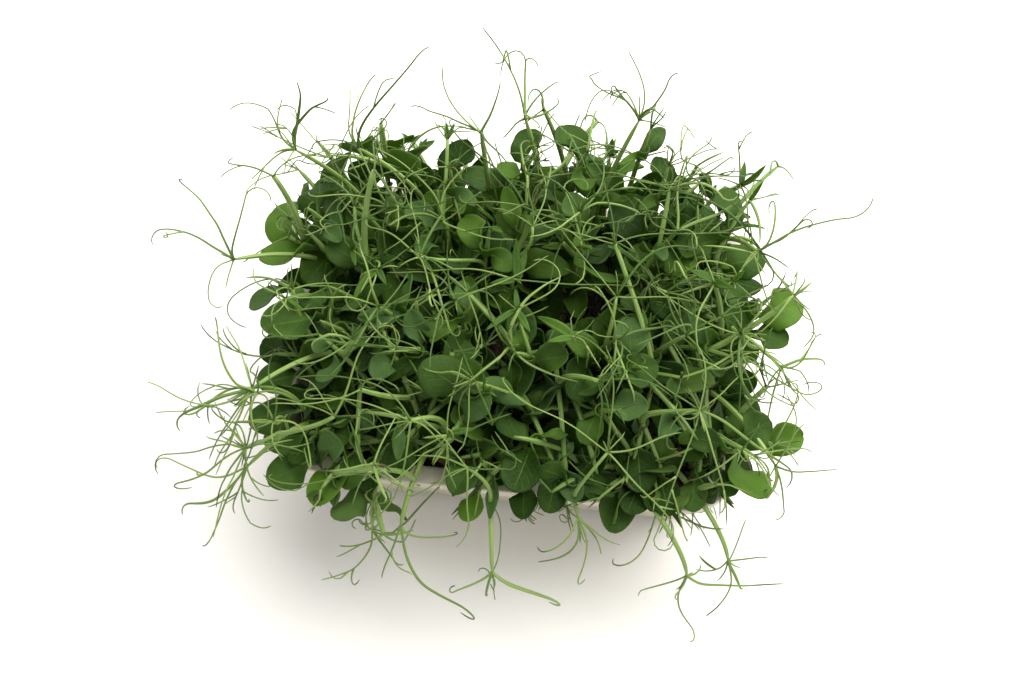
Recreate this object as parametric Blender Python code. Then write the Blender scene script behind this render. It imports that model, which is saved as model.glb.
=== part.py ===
"""Pea shoot microgreens tray: a shallow thermoformed punnet, a block of peat and the shoots that grow in it.

Metres, +Z up. The origin is the middle of the tray's flat underside, with the tray's long side along X.
Each shoot is two solids: its stem with the bud and tendrils that grow on it, and the pair of stipules
(the leaf-like blades at a node) that clasps the stem.
"""

import itertools
import math
import random

import bpy
import bmesh
from mathutils import Matrix, Vector, noise
from mathutils.geometry import interpolate_bezier

MM = 0.001

# Driving dimensions of the tray.
TRAY_LENGTH = 160 * MM
TRAY_WIDTH = 116 * MM
TRAY_HEIGHT = 48 * MM
RIM_WIDTH = 5.5 * MM
RIM_CORNER_RADIUS = 21 * MM
SKIRT_DROP = 4 * MM
WALL = 1 * MM
WALL_DRAFT = 8.5 * MM
BASE_FILLET = 5 * MM
EDGE_ROUND = 0.6 * MM
CORNER_STEPS = 8
FILLET_STEPS = 4

# The growing medium.
MEDIUM_TOP = 38.5 * MM
MEDIUM_BUMP = 0.7 * MM
MEDIUM_BUMPS_PER_METRE = 35
MEDIUM_RINGS = 7
GAP = 0.4 * MM

# The shoots, sown in staggered rows.
SHOOT_COLUMNS = 7
SHOOT_ROWS = 4
SOWN_LENGTH = 134 * MM
SOWN_WIDTH = 80 * MM
SOWING_SCATTER = 2.5 * MM
SOWING_SEED = 11
SHOOT_HEIGHT = 56 * MM
OUTWARD_LEAN = 14 * MM
STEM_RADIUS = 1.35 * MM
STEM_TIP_RADIUS = 0.95 * MM

# Places along a stem, counted in points of its route.
STEM_POINTS = 25
LEAF_POINTS = (15, 12, 18)
SPRAWLING_LEAF_POINTS = (9, 12, 15, 18)
COARSER = 3

# Stipules.
BLADE_LENGTH = 18 * MM
BLADE_WIDTH = 16 * MM
BLADE_THICKNESS = 0.45 * MM
BLADE_CUP = 0.25
COLLAR_CLEARANCE = 0.9 * MM
COLLAR_HALF_HEIGHT = 2 * MM

# The bud in each stipule pair, and the tendrils at the end of each stem.
BUD_LENGTH = 13 * MM
BUD_RADIUS = 0.8 * MM
BUD_SHAPE = ((0.0, 0.6), (0.45, 1.2), (0.8, 0.9), (1.0, 0.3))
TENDRIL_LENGTH = 32 * MM
TENDRIL_RADIUS = 0.45 * MM
TENDRIL_TIP_RADIUS = 0.28 * MM
TENDRIL_POINTS = 6
TENDRILS_INSIDE = 4
HUB_LENGTH = 1.4 * MM

# How far apart everything that grows is kept, and how often a place is looked for.
SPACING = 1.0 * MM
TRIES = 70

UP = Vector((0.0, 0.0, 1.0))

# The shoots round the edge sprawl past the rim. Each is keyed by its row and column, counted from the
# front left corner of the bed, and given in millimetres: the end of its stem, and then where its
# tendrils end, measured from there.
SPRAWL = {
    (0, 0): ((-80, -66, 66), (-30, 0, 6), (-22, -13, -8), (-12, -26, -18), (2, -10, -6)),
    (0, 1): ((-40, -74, 44), (-15, -17, -6), (12, -11, -9), (-3, 6, 12)),
    (0, 2): ((-30, -75, 51), (-15, 2, 4), (22, 1, 2), (31, -22, -18)),
    (0, 3): ((1, -84, 42), (-15, -8, -4), (25, -7, -4), (0, -4, -9)),
    (0, 4): ((27, -68, 58), (-12, -12, -10), (0, -20, -14), (9, -9, -8)),
    (0, 5): ((64, -78, 42), (32, 2, -2), (-3, -7, -6), (6, -16, -16)),
    (0, 6): ((77, -72, 44), (12, 2, 3), (-6, -16, -9), (6, -8, -9)),
    (1, 0): ((-80, -46, 82), (-13, 18, 14), (-32, 0, 2), (-26, -12, -8), (-6, -22, -8)),
    (1, 6): ((87, -50, 74), (6, 9, 13), (19, 0, 1), (6, -12, -14), (-3, -9, -11)),
    (2, 0): ((-93, -4, 90), (-24, 18, 22), (-28, 0, 10), (-5, -15, -8), (3, 22, 22)),
    (2, 6): ((87, -18, 80), (9, 8, 13), (16, 4, -2), (8, -10, 0), (-6, -16, 4)),
    (3, 0): ((-78, 33, 102), (-6, 12, 12), (15, 12, 15), (1, 13, 21), (-14, -12, -4)),
    (3, 1): ((-57, 34, 105), (4, 20, 17), (22, 26, 28), (-4, 14, 13), (12, 6, 10)),
    (3, 2): ((-17, 41, 110), (-13, 12, 18), (5, 9, 17), (-24, 2, 11), (10, -9, -2)),
    (3, 3): ((-3, 46, 113), (-16, 17, 23), (0, 14, 19), (13, 7, 5), (6, -9, 8)),
    (3, 4): ((34, 52, 110), (-10, 8, 11), (-5, 14, 17), (9, 8, 15), (8, -4, 8)),
    (3, 5): ((50, 36, 100), (9, 9, 11), (19, 2, 4), (-21, -4, 9), (8, -12, 6)),
    (3, 6): ((76, 14, 97), (34, 10, 10), (15, 8, 14), (16, -9, -8), (3, 18, 8)),
}


def material(name, colour, roughness):
    """A plain finish for one kind of piece."""
    made = bpy.data.materials.new(name)
    made.use_nodes = True
    shader = made.node_tree.nodes["Principled BSDF"]
    shader.inputs["Base Color"].default_value = (*colour, 1.0)
    shader.inputs["Roughness"].default_value = roughness
    shader.inputs["Metallic"].default_value = 0.0
    return made


def add_object(name, shape, finish):
    """Puts a finished bmesh in the scene, with its faces turned out."""
    bmesh.ops.recalc_face_normals(shape, faces=shape.faces)
    mesh = bpy.data.meshes.new(name)
    shape.to_mesh(mesh)
    shape.free()
    mesh.materials.append(finish)
    made = bpy.data.objects.new(name, mesh)
    bpy.context.scene.collection.objects.link(made)
    return made


# ---------------------------------------------------------------- tray and medium


def rounded_rectangle(inset, height):
    """Points of the tray's outline, moved in from the rim's edge by inset."""
    half_length = TRAY_LENGTH / 2 - inset
    half_width = TRAY_WIDTH / 2 - inset
    radius = max(RIM_CORNER_RADIUS - inset, RIM_CORNER_RADIUS / 3)
    points = []
    for corner, (side_x, side_y) in enumerate(((1, 1), (-1, 1), (-1, -1), (1, -1))):
        centre_x = side_x * (half_length - radius)
        centre_y = side_y * (half_width - radius)
        for step in range(CORNER_STEPS + 1):
            angle = math.radians(90) * (corner + step / CORNER_STEPS)
            x = centre_x + radius * math.cos(angle)
            y = centre_y + radius * math.sin(angle)
            points.append(Vector((x, y, height)))
    return points


def fillet(inset, height):
    """(inset, height) pairs round the lower edge of a wall, from its floor up."""
    turns = [math.radians(90) * step / FILLET_STEPS for step in range(FILLET_STEPS + 1)]
    return [
        (inset + BASE_FILLET * (1 - math.sin(turn)), height + BASE_FILLET * (1 - math.cos(turn)))
        for turn in turns
    ]


def tray_profile():
    """The wall's section: up its outer side, round the rim and its skirt, and down its inner side."""
    foot_inset = RIM_WIDTH + WALL_DRAFT
    rim = [
        (RIM_WIDTH, TRAY_HEIGHT - WALL),
        (WALL, TRAY_HEIGHT - WALL),
        (WALL, TRAY_HEIGHT - SKIRT_DROP),
        (0.0, TRAY_HEIGHT - SKIRT_DROP),
        (0.0, TRAY_HEIGHT - EDGE_ROUND),
        (EDGE_ROUND, TRAY_HEIGHT),
        (RIM_WIDTH + WALL - EDGE_ROUND, TRAY_HEIGHT),
        (RIM_WIDTH + WALL, TRAY_HEIGHT - EDGE_ROUND),
    ]
    inside = fillet(foot_inset + WALL, WALL)
    return fillet(foot_inset, 0.0) + rim + inside[::-1]


def loft(loops):
    """A closed shape through loops of equally many points, with a flat face on the first and the last."""
    shape = bmesh.new()
    rings = [[shape.verts.new(point) for point in loop] for loop in loops]
    for lower, upper in zip(rings, rings[1:]):
        join_rings(shape, lower, upper)
    shape.faces.new(rings[0])
    shape.faces.new(rings[-1])
    return shape


def join_rings(shape, lower, upper):
    """Faces between two rings; each is returned as its four corners."""
    corners = []
    for i in range(len(lower)):
        j = (i + 1) % len(lower)
        corners.append((lower[i], lower[j], upper[j], upper[i]))
    for four in corners:
        shape.faces.new(four)
    return corners


def build_tray(finish):
    shape = loft([rounded_rectangle(inset, height) for inset, height in tray_profile()])
    made = add_object("tray", shape, finish)
    made.data.shade_smooth()
    made.data.set_sharp_from_angle(angle=math.radians(35))


def wall_inset(height):
    """How far in from the rim's edge the inner side of the wall is at this height."""
    rise = (height - BASE_FILLET) / (TRAY_HEIGHT - WALL - BASE_FILLET)
    return RIM_WIDTH + WALL + WALL_DRAFT * (1 - rise)


def medium_height(x, y):
    """The crumbly top of the peat, as low bumps."""
    place = Vector((x, y, 0.0)) * MEDIUM_BUMPS_PER_METRE
    return MEDIUM_TOP + MEDIUM_BUMP * noise.noise(place)


def build_medium(finish):
    """A block that fills the tray up to a little below the rim, a hair's breadth clear of it."""
    foot = fillet(RIM_WIDTH + WALL_DRAFT + WALL + GAP, WALL + GAP)
    loops = [rounded_rectangle(inset, height) for inset, height in foot]
    edge = rounded_rectangle(wall_inset(MEDIUM_TOP) + GAP + MEDIUM_BUMP, 0.0)
    for ring in range(MEDIUM_RINGS):
        share = 1 - ring / MEDIUM_RINGS
        places = [(point.x * share, point.y * share) for point in edge]
        loops.append([Vector((x, y, medium_height(x, y))) for x, y in places])
    made = add_object("growing_medium", loft(loops), finish)
    made.data.shade_smooth()
    made.data.set_sharp_from_angle(angle=math.radians(35))


# ---------------------------------------------------------------- directions and routes


def turned(vector, axis, degrees):
    return Matrix.Rotation(math.radians(degrees), 3, axis) @ vector


def square_to(direction, towards):
    """The unit vector square to direction that is nearest to towards."""
    return (towards - direction * towards.dot(direction)).normalized()


def heading_at(route, index):
    return (route[min(index + 1, len(route) - 1)] - route[max(index - 1, 0)]).normalized()


def stem_route(base, tip):
    """An arc that leaves the peat upright and bends further the nearer it gets to its tip."""
    chord = tip - base
    lean = chord.angle(UP)
    side = square_to(UP, chord + Vector((1e-6, 0.0, 0.0)))
    arrival = UP * math.cos(2 * lean) + side * math.sin(2 * lean)
    reach = chord.length * (0.34 + 0.1 * lean)
    return interpolate_bezier(base, base + UP * reach, tip - arrival * reach, tip, STEM_POINTS)


def tendril_route(start, forward, end, bow, points=TENDRIL_POINTS):
    """A thread that sets off between forward and its end, and bows sideways on its way there."""
    way = end - start
    length = way.length
    sideways = square_to(way / length, UP)
    sideways = turned(sideways, way, bow["round"]) * bow["size"] * length
    first = start + (forward + way / length) * 0.2 * length
    second = end - way * 0.35 + sideways
    return interpolate_bezier(start, first + sideways, second, end, points)


# ---------------------------------------------------------------- room to grow


class Room:
    """Remembers where things already stand and how thick they are, so nothing grows through them."""

    CELL = 5 * MM

    def __init__(self):
        self.cells = {}

    def cell(self, point):
        return tuple(math.floor(value / self.CELL) for value in point)

    def take(self, points, radius, owner):
        for point in points:
            self.cells.setdefault(self.cell(point), []).append((point, radius, owner))

    def neighbours(self, point):
        i, j, k = self.cell(point)
        for a in (i - 1, i, i + 1):
            for b in (j - 1, j, j + 1):
                for c in (k - 1, k, k + 1):
                    yield from self.cells.get((a, b, c), ())

    def is_free(self, points, radius, owner):
        """True if the points are clear of the tray and the peat, and of everything that isn't owner's."""
        for point in points:
            if not clear_of_tray(point, radius):
                return False
            for other, thickness, holder in self.neighbours(point):
                if holder != owner and (other - point).length < radius + thickness + SPACING:
                    return False
        return True


def clear_of_tray(point, radius):
    """True above the peat inside the tray, above its rim, or beside it and off the table."""
    margin = radius + 2 * SPACING
    inset = min(TRAY_LENGTH / 2 - abs(point.x), TRAY_WIDTH / 2 - abs(point.y))
    if inset < -margin:
        return point.z > margin
    if inset < wall_inset(MEDIUM_TOP) + margin:
        return point.z > TRAY_HEIGHT + margin
    return point.z > MEDIUM_TOP + margin


def filled_in(route, step=1.2 * MM):
    """The route with points added, no two further apart than step."""
    dense = [route[0]]
    for near, far in zip(route, route[1:]):
        count = max(1, math.ceil((far - near).length / step))
        dense += [near.lerp(far, (i + 1) / count) for i in range(count)]
    return dense


# ---------------------------------------------------------------- where the shoots grow


def sown_places():
    """((row, column), base point) of each shoot."""
    draws = random.Random(SOWING_SEED)
    for row in range(SHOOT_ROWS):
        stagger = 0.2 if row % 2 else -0.2
        for column in range(SHOOT_COLUMNS):
            x = SOWN_LENGTH * ((column + 0.5 + stagger) / SHOOT_COLUMNS - 0.5)
            y = SOWN_WIDTH * (row / (SHOOT_ROWS - 1) - 0.5)
            x += draws.uniform(-SOWING_SCATTER, SOWING_SCATTER)
            y += draws.uniform(-SOWING_SCATTER, SOWING_SCATTER)
            yield (row, column), Vector((x, y, medium_height(x, y) + GAP))


def upright_tip(base, draws):
    """Inside the bed a shoot stands nearly straight, and leans out more the nearer it is to the rim."""
    outward = Vector((2 * base.x / SOWN_LENGTH, 2 * base.y / SOWN_WIDTH, 0.0))
    stray = Vector((draws.uniform(-6, 6), draws.uniform(-6, 6), 0.0)) * MM
    return base + outward * OUTWARD_LEAN + stray + UP * SHOOT_HEIGHT * draws.uniform(0.85, 1.12)


def place_stipules(shoot, room, draws):
    """Moves the pair up, down and about its stem until it grows clear of everything else."""
    leaf_points = SPRAWLING_LEAF_POINTS if shoot["place"] in SPRAWL else LEAF_POINTS
    for leaf_point, attempt in itertools.product(leaf_points, range(TRIES)):
        shoot["leaf_point"] = leaf_point
        shoot["node"] = shoot["stem"][leaf_point]
        axis = shoot["axis"] = heading_at(shoot["stem"], leaf_point)
        shoot["size"] = draws.uniform(0.9, 1.12) * (1 - 0.3 * attempt / TRIES)
        shoot["opening"] = math.radians(draws.uniform(60, 95))
        shoot["lift"] = math.radians(draws.uniform(8, 45))
        shoot["twist"] = math.radians(draws.uniform(50, 85))
        shoot["droop"] = draws.uniform(-0.1, 0.2)
        sideways = turned(Vector((1.0, 0.0, 0.0)), UP, draws.uniform(0, 360))
        shoot["front"] = square_to(axis, sideways + UP * 1.5)
        sheet = sheet_rows(stipule_sections(shoot, 8, 3), 9)
        points = [point for row in sheet for point in row]
        if room.is_free(points, BLADE_THICKNESS / 2, shoot["name"]) and off_own_stem(sheet, shoot):
            room.take(points, BLADE_THICKNESS / 2, shoot["name"] + "_leaves")
            return
    print("no room for the stipules of", shoot["name"])


def off_own_stem(sheet, shoot):
    """True if the pair touches none of its own stem's route."""
    stem = filled_in(shoot["stem"])
    clearance = STEM_RADIUS + BLADE_THICKNESS / 2 + GAP
    return all((point - other).length > clearance for row in sheet for point in row for other in stem)


def place_tendrils(shoot, place, room, draws):
    """Tendrils from the end of the stem, to where they're told or fanned out evenly."""
    tip = shoot["stem"][-1]
    forward = heading_at(shoot["stem"], STEM_POINTS - 1)
    told = SPRAWL.get(place, ())[1:]
    first_turn = draws.uniform(0, 360)
    for number in range(len(told) or TENDRILS_INSIDE):
        for _ in range(TRIES):
            if told:
                stray = Vector([draws.uniform(-1, 1) for _ in range(3)])
                end = tip + (Vector(told[number]) + stray) * MM
            else:
                around = first_turn + 360 * number / TENDRILS_INSIDE + draws.uniform(-30, 30)
                spread = turned(square_to(forward, UP + Vector((0.1, 0.0, 0.0))), forward, around)
                away = forward * draws.uniform(0.1, 0.9) + spread
                end = tip + away.normalized() * TENDRIL_LENGTH * draws.uniform(0.6, 1.15)
            bow = {"round": draws.uniform(0, 360), "size": draws.uniform(0.05, 0.3)}
            thread = tendril_route(tip, forward, end, bow)
            dense = filled_in(thread)
            if room.is_free(dense[3:], TENDRIL_RADIUS, shoot["name"]):
                room.take(dense, TENDRIL_RADIUS, shoot["name"])
                shoot["tendrils"].append(thread)
                break


def place_bud(shoot, room, draws):
    """A bud from the node, up between the two blades."""
    start, axis = shoot["node"], shoot["axis"]
    for _ in range(TRIES):
        front = turned(shoot["front"], axis, draws.uniform(-45, 45))
        heading = turned(axis, axis.cross(front), draws.uniform(20, 60))
        bud = [start + heading * BUD_LENGTH * along for along, _ in BUD_SHAPE]
        dense = filled_in(bud)[4:]
        if room.is_free(dense, BUD_RADIUS, shoot["name"]):
            room.take(dense, BUD_RADIUS, shoot["name"])
            shoot["bud"] = bud
            return


def plan_shoots():
    """Every shoot's routes and stipules, each grown clear of those before it."""
    shoots = []
    room = Room()
    for number, (place, base) in enumerate(sown_places(), start=1):
        draws = random.Random(SOWING_SEED * 1000 + number)
        usual = upright_tip(base, draws)
        tip = Vector(SPRAWL[place][0]) * MM if place in SPRAWL else usual
        route = stem_route(base, tip)
        shoot = {
            "name": f"shoot_{number:02d}",
            "place": place,
            "draws": draws,
            "stem": route,
            "bud": [],
            "tendrils": [],
        }
        room.take(filled_in(route), STEM_RADIUS, shoot["name"])
        shoots.append(shoot)
    for shoot in shoots:
        place_stipules(shoot, room, shoot["draws"])
    for shoot in shoots:
        place_bud(shoot, room, shoot["draws"])
        place_tendrils(shoot, shoot["place"], room, shoot["draws"])
    return shoots


# ---------------------------------------------------------------- stipules


def blade_half_width(along):
    """Half the blade's width, from its clasping base to its blunt tip, as a share of the full width."""
    return 0.5 * math.sin(math.pi * (0.12 + 0.85 * along**0.85)) ** 0.6


def stipule_sections(shoot, blade_steps, collar_steps):
    """Sections of a stipule pair, from one blade's tip, round behind the stem, to the other's.

    Each is (centre, width direction, half-width, how deeply it is cupped).
    """
    axis, front = shoot["axis"], shoot["front"]
    flank = axis.cross(front)
    collar_radius = STEM_RADIUS + COLLAR_CLEARANCE

    def blade(side):
        away = front * math.cos(shoot["opening"]) + flank * side * math.sin(shoot["opening"])
        along = away * math.cos(shoot["lift"]) + axis * math.sin(shoot["lift"])
        upright = square_to(along, axis)
        level = along.cross(upright) * side
        root = shoot["node"] + flank * side * collar_radius
        for step in range(1, blade_steps + 1):
            share = step / blade_steps
            turn = shoot["twist"] * min(1.0, share * 2.2)
            width_way = upright * math.cos(turn) + level * math.sin(turn)
            sag = UP * BLADE_LENGTH * shoot["size"] * shoot["droop"] * share**2
            half = BLADE_WIDTH * shoot["size"] * blade_half_width(share)
            half = max(half, COLLAR_HALF_HEIGHT * (1 - share))
            place = root + along * BLADE_LENGTH * shoot["size"] * share - sag
            yield place, width_way, half, BLADE_CUP

    def collar():
        for step in range(collar_steps + 1):
            angle = math.pi * (step / collar_steps - 0.5)
            place = flank * math.sin(angle) - front * math.cos(angle)
            yield shoot["node"] + place * collar_radius, axis, COLLAR_HALF_HEIGHT, 0.0

    return list(blade(-1.0))[::-1] + list(collar()) + list(blade(1.0))


def sheet_rows(sections, rows):
    """Points across each section; the blade is cupped, so its edges stand proud of its middle."""
    sheet = []
    for i, (centre, width_way, half, cup) in enumerate(sections):
        along = sections[min(i + 1, len(sections) - 1)][0] - sections[max(i - 1, 0)][0]
        face_way = along.cross(width_way).normalized()
        shares = [2 * row / (rows - 1) - 1 for row in range(rows)]
        sheet.append([centre + (width_way * s + face_way * cup * s * s) * half for s in shares])
    return sheet


def build_stipules(shoot, finish):
    """The pair as one sheet, given its thickness."""
    shape = bmesh.new()
    sheet = sheet_rows(stipule_sections(shoot, 4, 3), 3)
    grid = [[shape.verts.new(point) for point in row] for row in sheet]
    for near, far in zip(grid, grid[1:]):
        for i in range(len(near) - 1):
            shape.faces.new((near[i], near[i + 1], far[i + 1], far[i]))
    made = add_object(shoot["name"] + "_leaves", shape, finish)
    made.data.shade_smooth()
    solid = made.modifiers.new("Thickness", "SOLIDIFY")
    solid.thickness = BLADE_THICKNESS
    solid.offset = 0.0


# ---------------------------------------------------------------- stems


def tapered(first, last, count):
    return [first + (last - first) * i / (count - 1) for i in range(count)]


def ring_round(shape, centre, heading, before, radius):
    """Four points round centre, in step with those of the ring before it."""
    middle = sum((vertex.co for vertex in before), Vector()) / len(before)
    start = square_to(heading, before[0].co - middle)
    return [shape.verts.new(centre + turned(start, heading, 90 * i) * radius) for i in range(4)]


def grow_tube(shape, ring, route, radii):
    """Carries a tube on from ring along route. Returns its last ring and the faces of each length."""
    lengths = []
    for i, (centre, radius) in enumerate(zip(route, radii)):
        onward = ring_round(shape, centre, heading_at(route, i), ring, radius)
        lengths.append(join_rings(shape, ring, onward))
        ring = onward
    return ring, lengths


def face_heading(corners):
    """Which way the face with these four corners points."""
    a, b, c, d = (vertex.co for vertex in corners)
    return (c - a).cross(d - b).normalized()


def branch(shape, faces, route, radii):
    """Grows a tube out of whichever face looks most along its route, in that face's place."""
    away = heading_at(route, 0)
    best = max(faces, key=lambda corners: face_heading(corners).dot(away))
    faces.remove(best)
    shape.faces.remove(shape.faces.get(best))
    end, _ = grow_tube(shape, list(best), route[1:], radii[1:])
    shape.faces.new(end)


def build_stem(shoot, finish):
    """Stem, bud and tendrils as one branching solid: each branch grows out of a face of what bears it."""
    shape = bmesh.new()
    stem = shoot["stem"][::COARSER]
    radii = tapered(STEM_RADIUS, STEM_TIP_RADIUS, len(stem))
    leaf = shoot["leaf_point"] // COARSER
    hub = heading_at(stem, len(stem) - 1) * HUB_LENGTH
    node = shoot["axis"] * radii[leaf]
    below_node = stem[1:leaf] + [stem[leaf] - node]
    above_node = [stem[leaf] + node] + stem[leaf + 1 : -1] + [stem[-1] - hub, stem[-1]]
    radii = radii[1 : leaf + 1] + radii[leaf:] + radii[-1:]

    first = [shape.verts.new(stem[0] + turned(Vector((STEM_RADIUS, 0, 0)), UP, 90 * i)) for i in range(4)]
    shape.faces.new(first)
    last, lengths = grow_tube(shape, first, below_node + above_node, radii)
    shape.faces.new(last)
    if shoot["bud"]:
        branch(shape, lengths[leaf], shoot["bud"], [radius * MM for _, radius in BUD_SHAPE])
    hub_faces = lengths[-1] + [tuple(last)]
    for thread in shoot["tendrils"]:
        branch(shape, hub_faces, thread, tapered(TENDRIL_RADIUS, TENDRIL_TIP_RADIUS, len(thread)))
    made = add_object(shoot["name"] + "_stem", shape, finish)
    made.data.shade_smooth()


def main():
    for leftover in list(bpy.data.objects):
        bpy.data.objects.remove(leftover)
    white_plastic = material("white_plastic", (0.86, 0.86, 0.84), 0.35)
    peat = material("peat", (0.030, 0.018, 0.011), 0.95)
    stem_green = material("stem_green", (0.25, 0.42, 0.10), 0.45)
    leaf_green = material("leaf_green", (0.07, 0.19, 0.05), 0.5)
    build_tray(white_plastic)
    build_medium(peat)
    for shoot in plan_shoots():
        build_stem(shoot, stem_green)
        build_stipules(shoot, leaf_green)


main()
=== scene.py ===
# %% [markdown]
# # Pea shoot microgreens, grown in a white punnet
#
# The tray is a thin white plastic punnet filled with dark peat. Pea shoots stand in it close together.
# Each shoot has a pale ribbed stem, pairs of round blades called stipules that clasp it, and leaves
# that have turned into tendrils: thin green threads that fork, wander and hook on to each other.
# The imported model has 28 shoots at their real places. This script grows each of them finely, fills in
# the shoots between them, and gives every surface its finish.

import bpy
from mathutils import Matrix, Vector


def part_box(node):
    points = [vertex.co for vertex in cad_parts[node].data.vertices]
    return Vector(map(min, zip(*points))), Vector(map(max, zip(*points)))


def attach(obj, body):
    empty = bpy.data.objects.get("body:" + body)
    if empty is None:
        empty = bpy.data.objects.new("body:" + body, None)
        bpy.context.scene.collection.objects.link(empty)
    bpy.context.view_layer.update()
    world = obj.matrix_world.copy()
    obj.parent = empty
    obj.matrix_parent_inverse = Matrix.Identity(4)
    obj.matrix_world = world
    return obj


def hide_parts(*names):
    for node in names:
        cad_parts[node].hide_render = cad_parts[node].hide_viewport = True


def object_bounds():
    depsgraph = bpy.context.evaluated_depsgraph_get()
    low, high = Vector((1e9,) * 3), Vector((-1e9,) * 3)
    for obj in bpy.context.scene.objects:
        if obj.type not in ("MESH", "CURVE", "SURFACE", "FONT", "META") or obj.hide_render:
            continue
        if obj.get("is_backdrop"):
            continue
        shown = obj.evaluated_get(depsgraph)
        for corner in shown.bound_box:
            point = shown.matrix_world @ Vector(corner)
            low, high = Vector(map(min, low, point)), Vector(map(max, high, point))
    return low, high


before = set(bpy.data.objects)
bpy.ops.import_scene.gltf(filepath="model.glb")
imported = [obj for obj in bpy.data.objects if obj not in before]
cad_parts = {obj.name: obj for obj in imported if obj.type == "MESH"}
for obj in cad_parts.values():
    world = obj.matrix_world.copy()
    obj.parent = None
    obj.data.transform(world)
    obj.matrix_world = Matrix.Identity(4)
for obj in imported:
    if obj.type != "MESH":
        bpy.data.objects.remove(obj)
cad_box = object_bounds()
print("packed model:", len(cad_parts), "nodes")

# %% Blender and maths
import itertools
import math
import random

import bpy
import numpy as np
from mathutils import Matrix, Vector, noise
from mathutils.geometry import interpolate_bezier

MM = 0.001
UP = Vector((0.0, 0.0, 1.0))


def add_object(name, data):
    made = bpy.data.objects.new(name, data)
    bpy.context.scene.collection.objects.link(made)
    return made



# %% [markdown]
# ## The camera
#
# The tray is looked at from above and in front, as by someone who stands at the table. The camera is
# placed by its elevation, its turn and its distance, which say more than bare coordinates would.

# %% Camera
LOOK_AT = Vector((0, 0, 80)) * MM
CAMERA_ELEVATION = math.radians(60)
CAMERA_TURN = math.radians(6)
CAMERA_DISTANCE = 470 * MM
AIM = Vector((0, -18.4, 80)) * MM

level = math.cos(CAMERA_ELEVATION)
ray = Vector((math.sin(CAMERA_TURN) * level, -math.cos(CAMERA_TURN) * level, math.sin(CAMERA_ELEVATION)))
camera_data = bpy.data.cameras.new("camera")
camera_data.lens = 50
camera_data.sensor_width = 36
camera = add_object("camera", camera_data)
camera.location = LOOK_AT + ray * CAMERA_DISTANCE
camera.rotation_euler = (AIM - camera.location).to_track_quat("-Z", "Y").to_euler()
bpy.context.scene.camera = camera
print("camera at", [round(value, 3) for value in camera.location])

# %% [markdown]
# ## Light and table
#
# The main light is a large soft window high up behind the tray and a little to the right, so leaves
# at the back glow and a soft shadow falls to the front. A white sky fills in the rest. The display
# transform is Standard, because the table should be as white as the light makes it.

# %% Lights
SKY_STRENGTH = 0.6
WINDOW_PLACE = Vector((0.48, 0.68, 1.26))
WINDOW_SIZE = 2.1
WINDOW_WATTS = 66.0

world = bpy.data.worlds.new("white_sky")
bpy.context.scene.world = world
world.use_nodes = True
sky = world.node_tree.nodes["Background"]
sky.inputs["Color"].default_value = (1.0, 1.0, 1.0, 1.0)
sky.inputs["Strength"].default_value = SKY_STRENGTH

window_data = bpy.data.lights.new("window", "AREA")
window_data.shape = "SQUARE"
window_data.size = WINDOW_SIZE
window_data.energy = WINDOW_WATTS
window_data.color = (1.0, 0.985, 0.95)
window = add_object("window", window_data)
window.location = WINDOW_PLACE
window.rotation_euler = (LOOK_AT - WINDOW_PLACE).to_track_quat("-Z", "Y").to_euler()

bpy.context.scene.view_settings.view_transform = "Standard"
bpy.context.scene.view_settings.look = "None"

# %% [markdown]
# ## Finishes
#
# A material here is a small graph of nodes round one Principled shader. Effects that several finishes
# share are built once as node groups, with named inputs, so each finish can use them with its own
# values. A group puts out only colours, masks and heights. The shader stays in the material.

# %% Small helpers for node graphs
def new_group(name, inputs, outputs=("Mask",)):
    """An empty node group of numbers: inputs is {name: default}, and outputs are names."""
    tree = bpy.data.node_groups.new(name, "ShaderNodeTree")
    for label, value in inputs.items():
        socket = tree.interface.new_socket(label, in_out="INPUT", socket_type="NodeSocketFloat")
        socket.default_value = value
    for label in outputs:
        tree.interface.new_socket(label, in_out="OUTPUT", socket_type="NodeSocketFloat")
    return tree, tree.nodes.new("NodeGroupInput"), tree.nodes.new("NodeGroupOutput")


def feed(tree, node, **values):
    """Links or sets inputs of a node, each by its name (Base_Color) or its number (i6)."""
    for label, value in values.items():
        socket = node.inputs[int(label[1:])] if label[1:].isdigit() else node.inputs[label.replace("_", " ")]
        if isinstance(value, bpy.types.NodeSocket):
            tree.links.new(value, socket)
        else:
            socket.default_value = value
    return node


def put(tree, kind, settings=None, **values):
    """Adds a node, sets its properties, and feeds its inputs."""
    node = tree.nodes.new(kind)
    for label, value in (settings or {}).items():
        setattr(node, label, value)
    return feed(tree, node, **values)


def maths(tree, operation, first, second=0.0, third=0.0):
    node = put(tree, "ShaderNodeMath", {"operation": operation}, i0=first, i1=second, i2=third)
    return node.outputs[0]


def times(tree, value, factor):
    return maths(tree, "MULTIPLY", value, factor)


def scaled(tree, value, factor, shift):
    """value * factor + shift."""
    return maths(tree, "MULTIPLY_ADD", value, factor, shift)


def blend(tree, share, first, second):
    return put(tree, "ShaderNodeMix", {"data_type": "RGBA"}, i0=share, i6=first, i7=second).outputs[2]


def ramp_up(tree, value, low, high):
    """0 below low, 1 above high, and smooth between."""
    smooth = {"interpolation_type": "SMOOTHSTEP"}
    return put(tree, "ShaderNodeMapRange", smooth, Value=value, From_Min=low, From_Max=high).outputs[0]


def ramp_down(tree, value, low, high):
    """1 below low, 0 above high, and smooth between."""
    return maths(tree, "SUBTRACT", 1.0, ramp_up(tree, value, low, high))


def surface_map(tree):
    """Where a point is on its own leaf or thread: along it and across it."""
    place = put(tree, "ShaderNodeUVMap", {"uv_map": "surface"})
    parts = put(tree, "ShaderNodeSeparateXYZ", None, Vector=place.outputs[0])
    return parts.outputs[0], parts.outputs[1]


def body_place(tree):
    return tree.nodes.new("ShaderNodeTexCoord").outputs["Object"]


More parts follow.
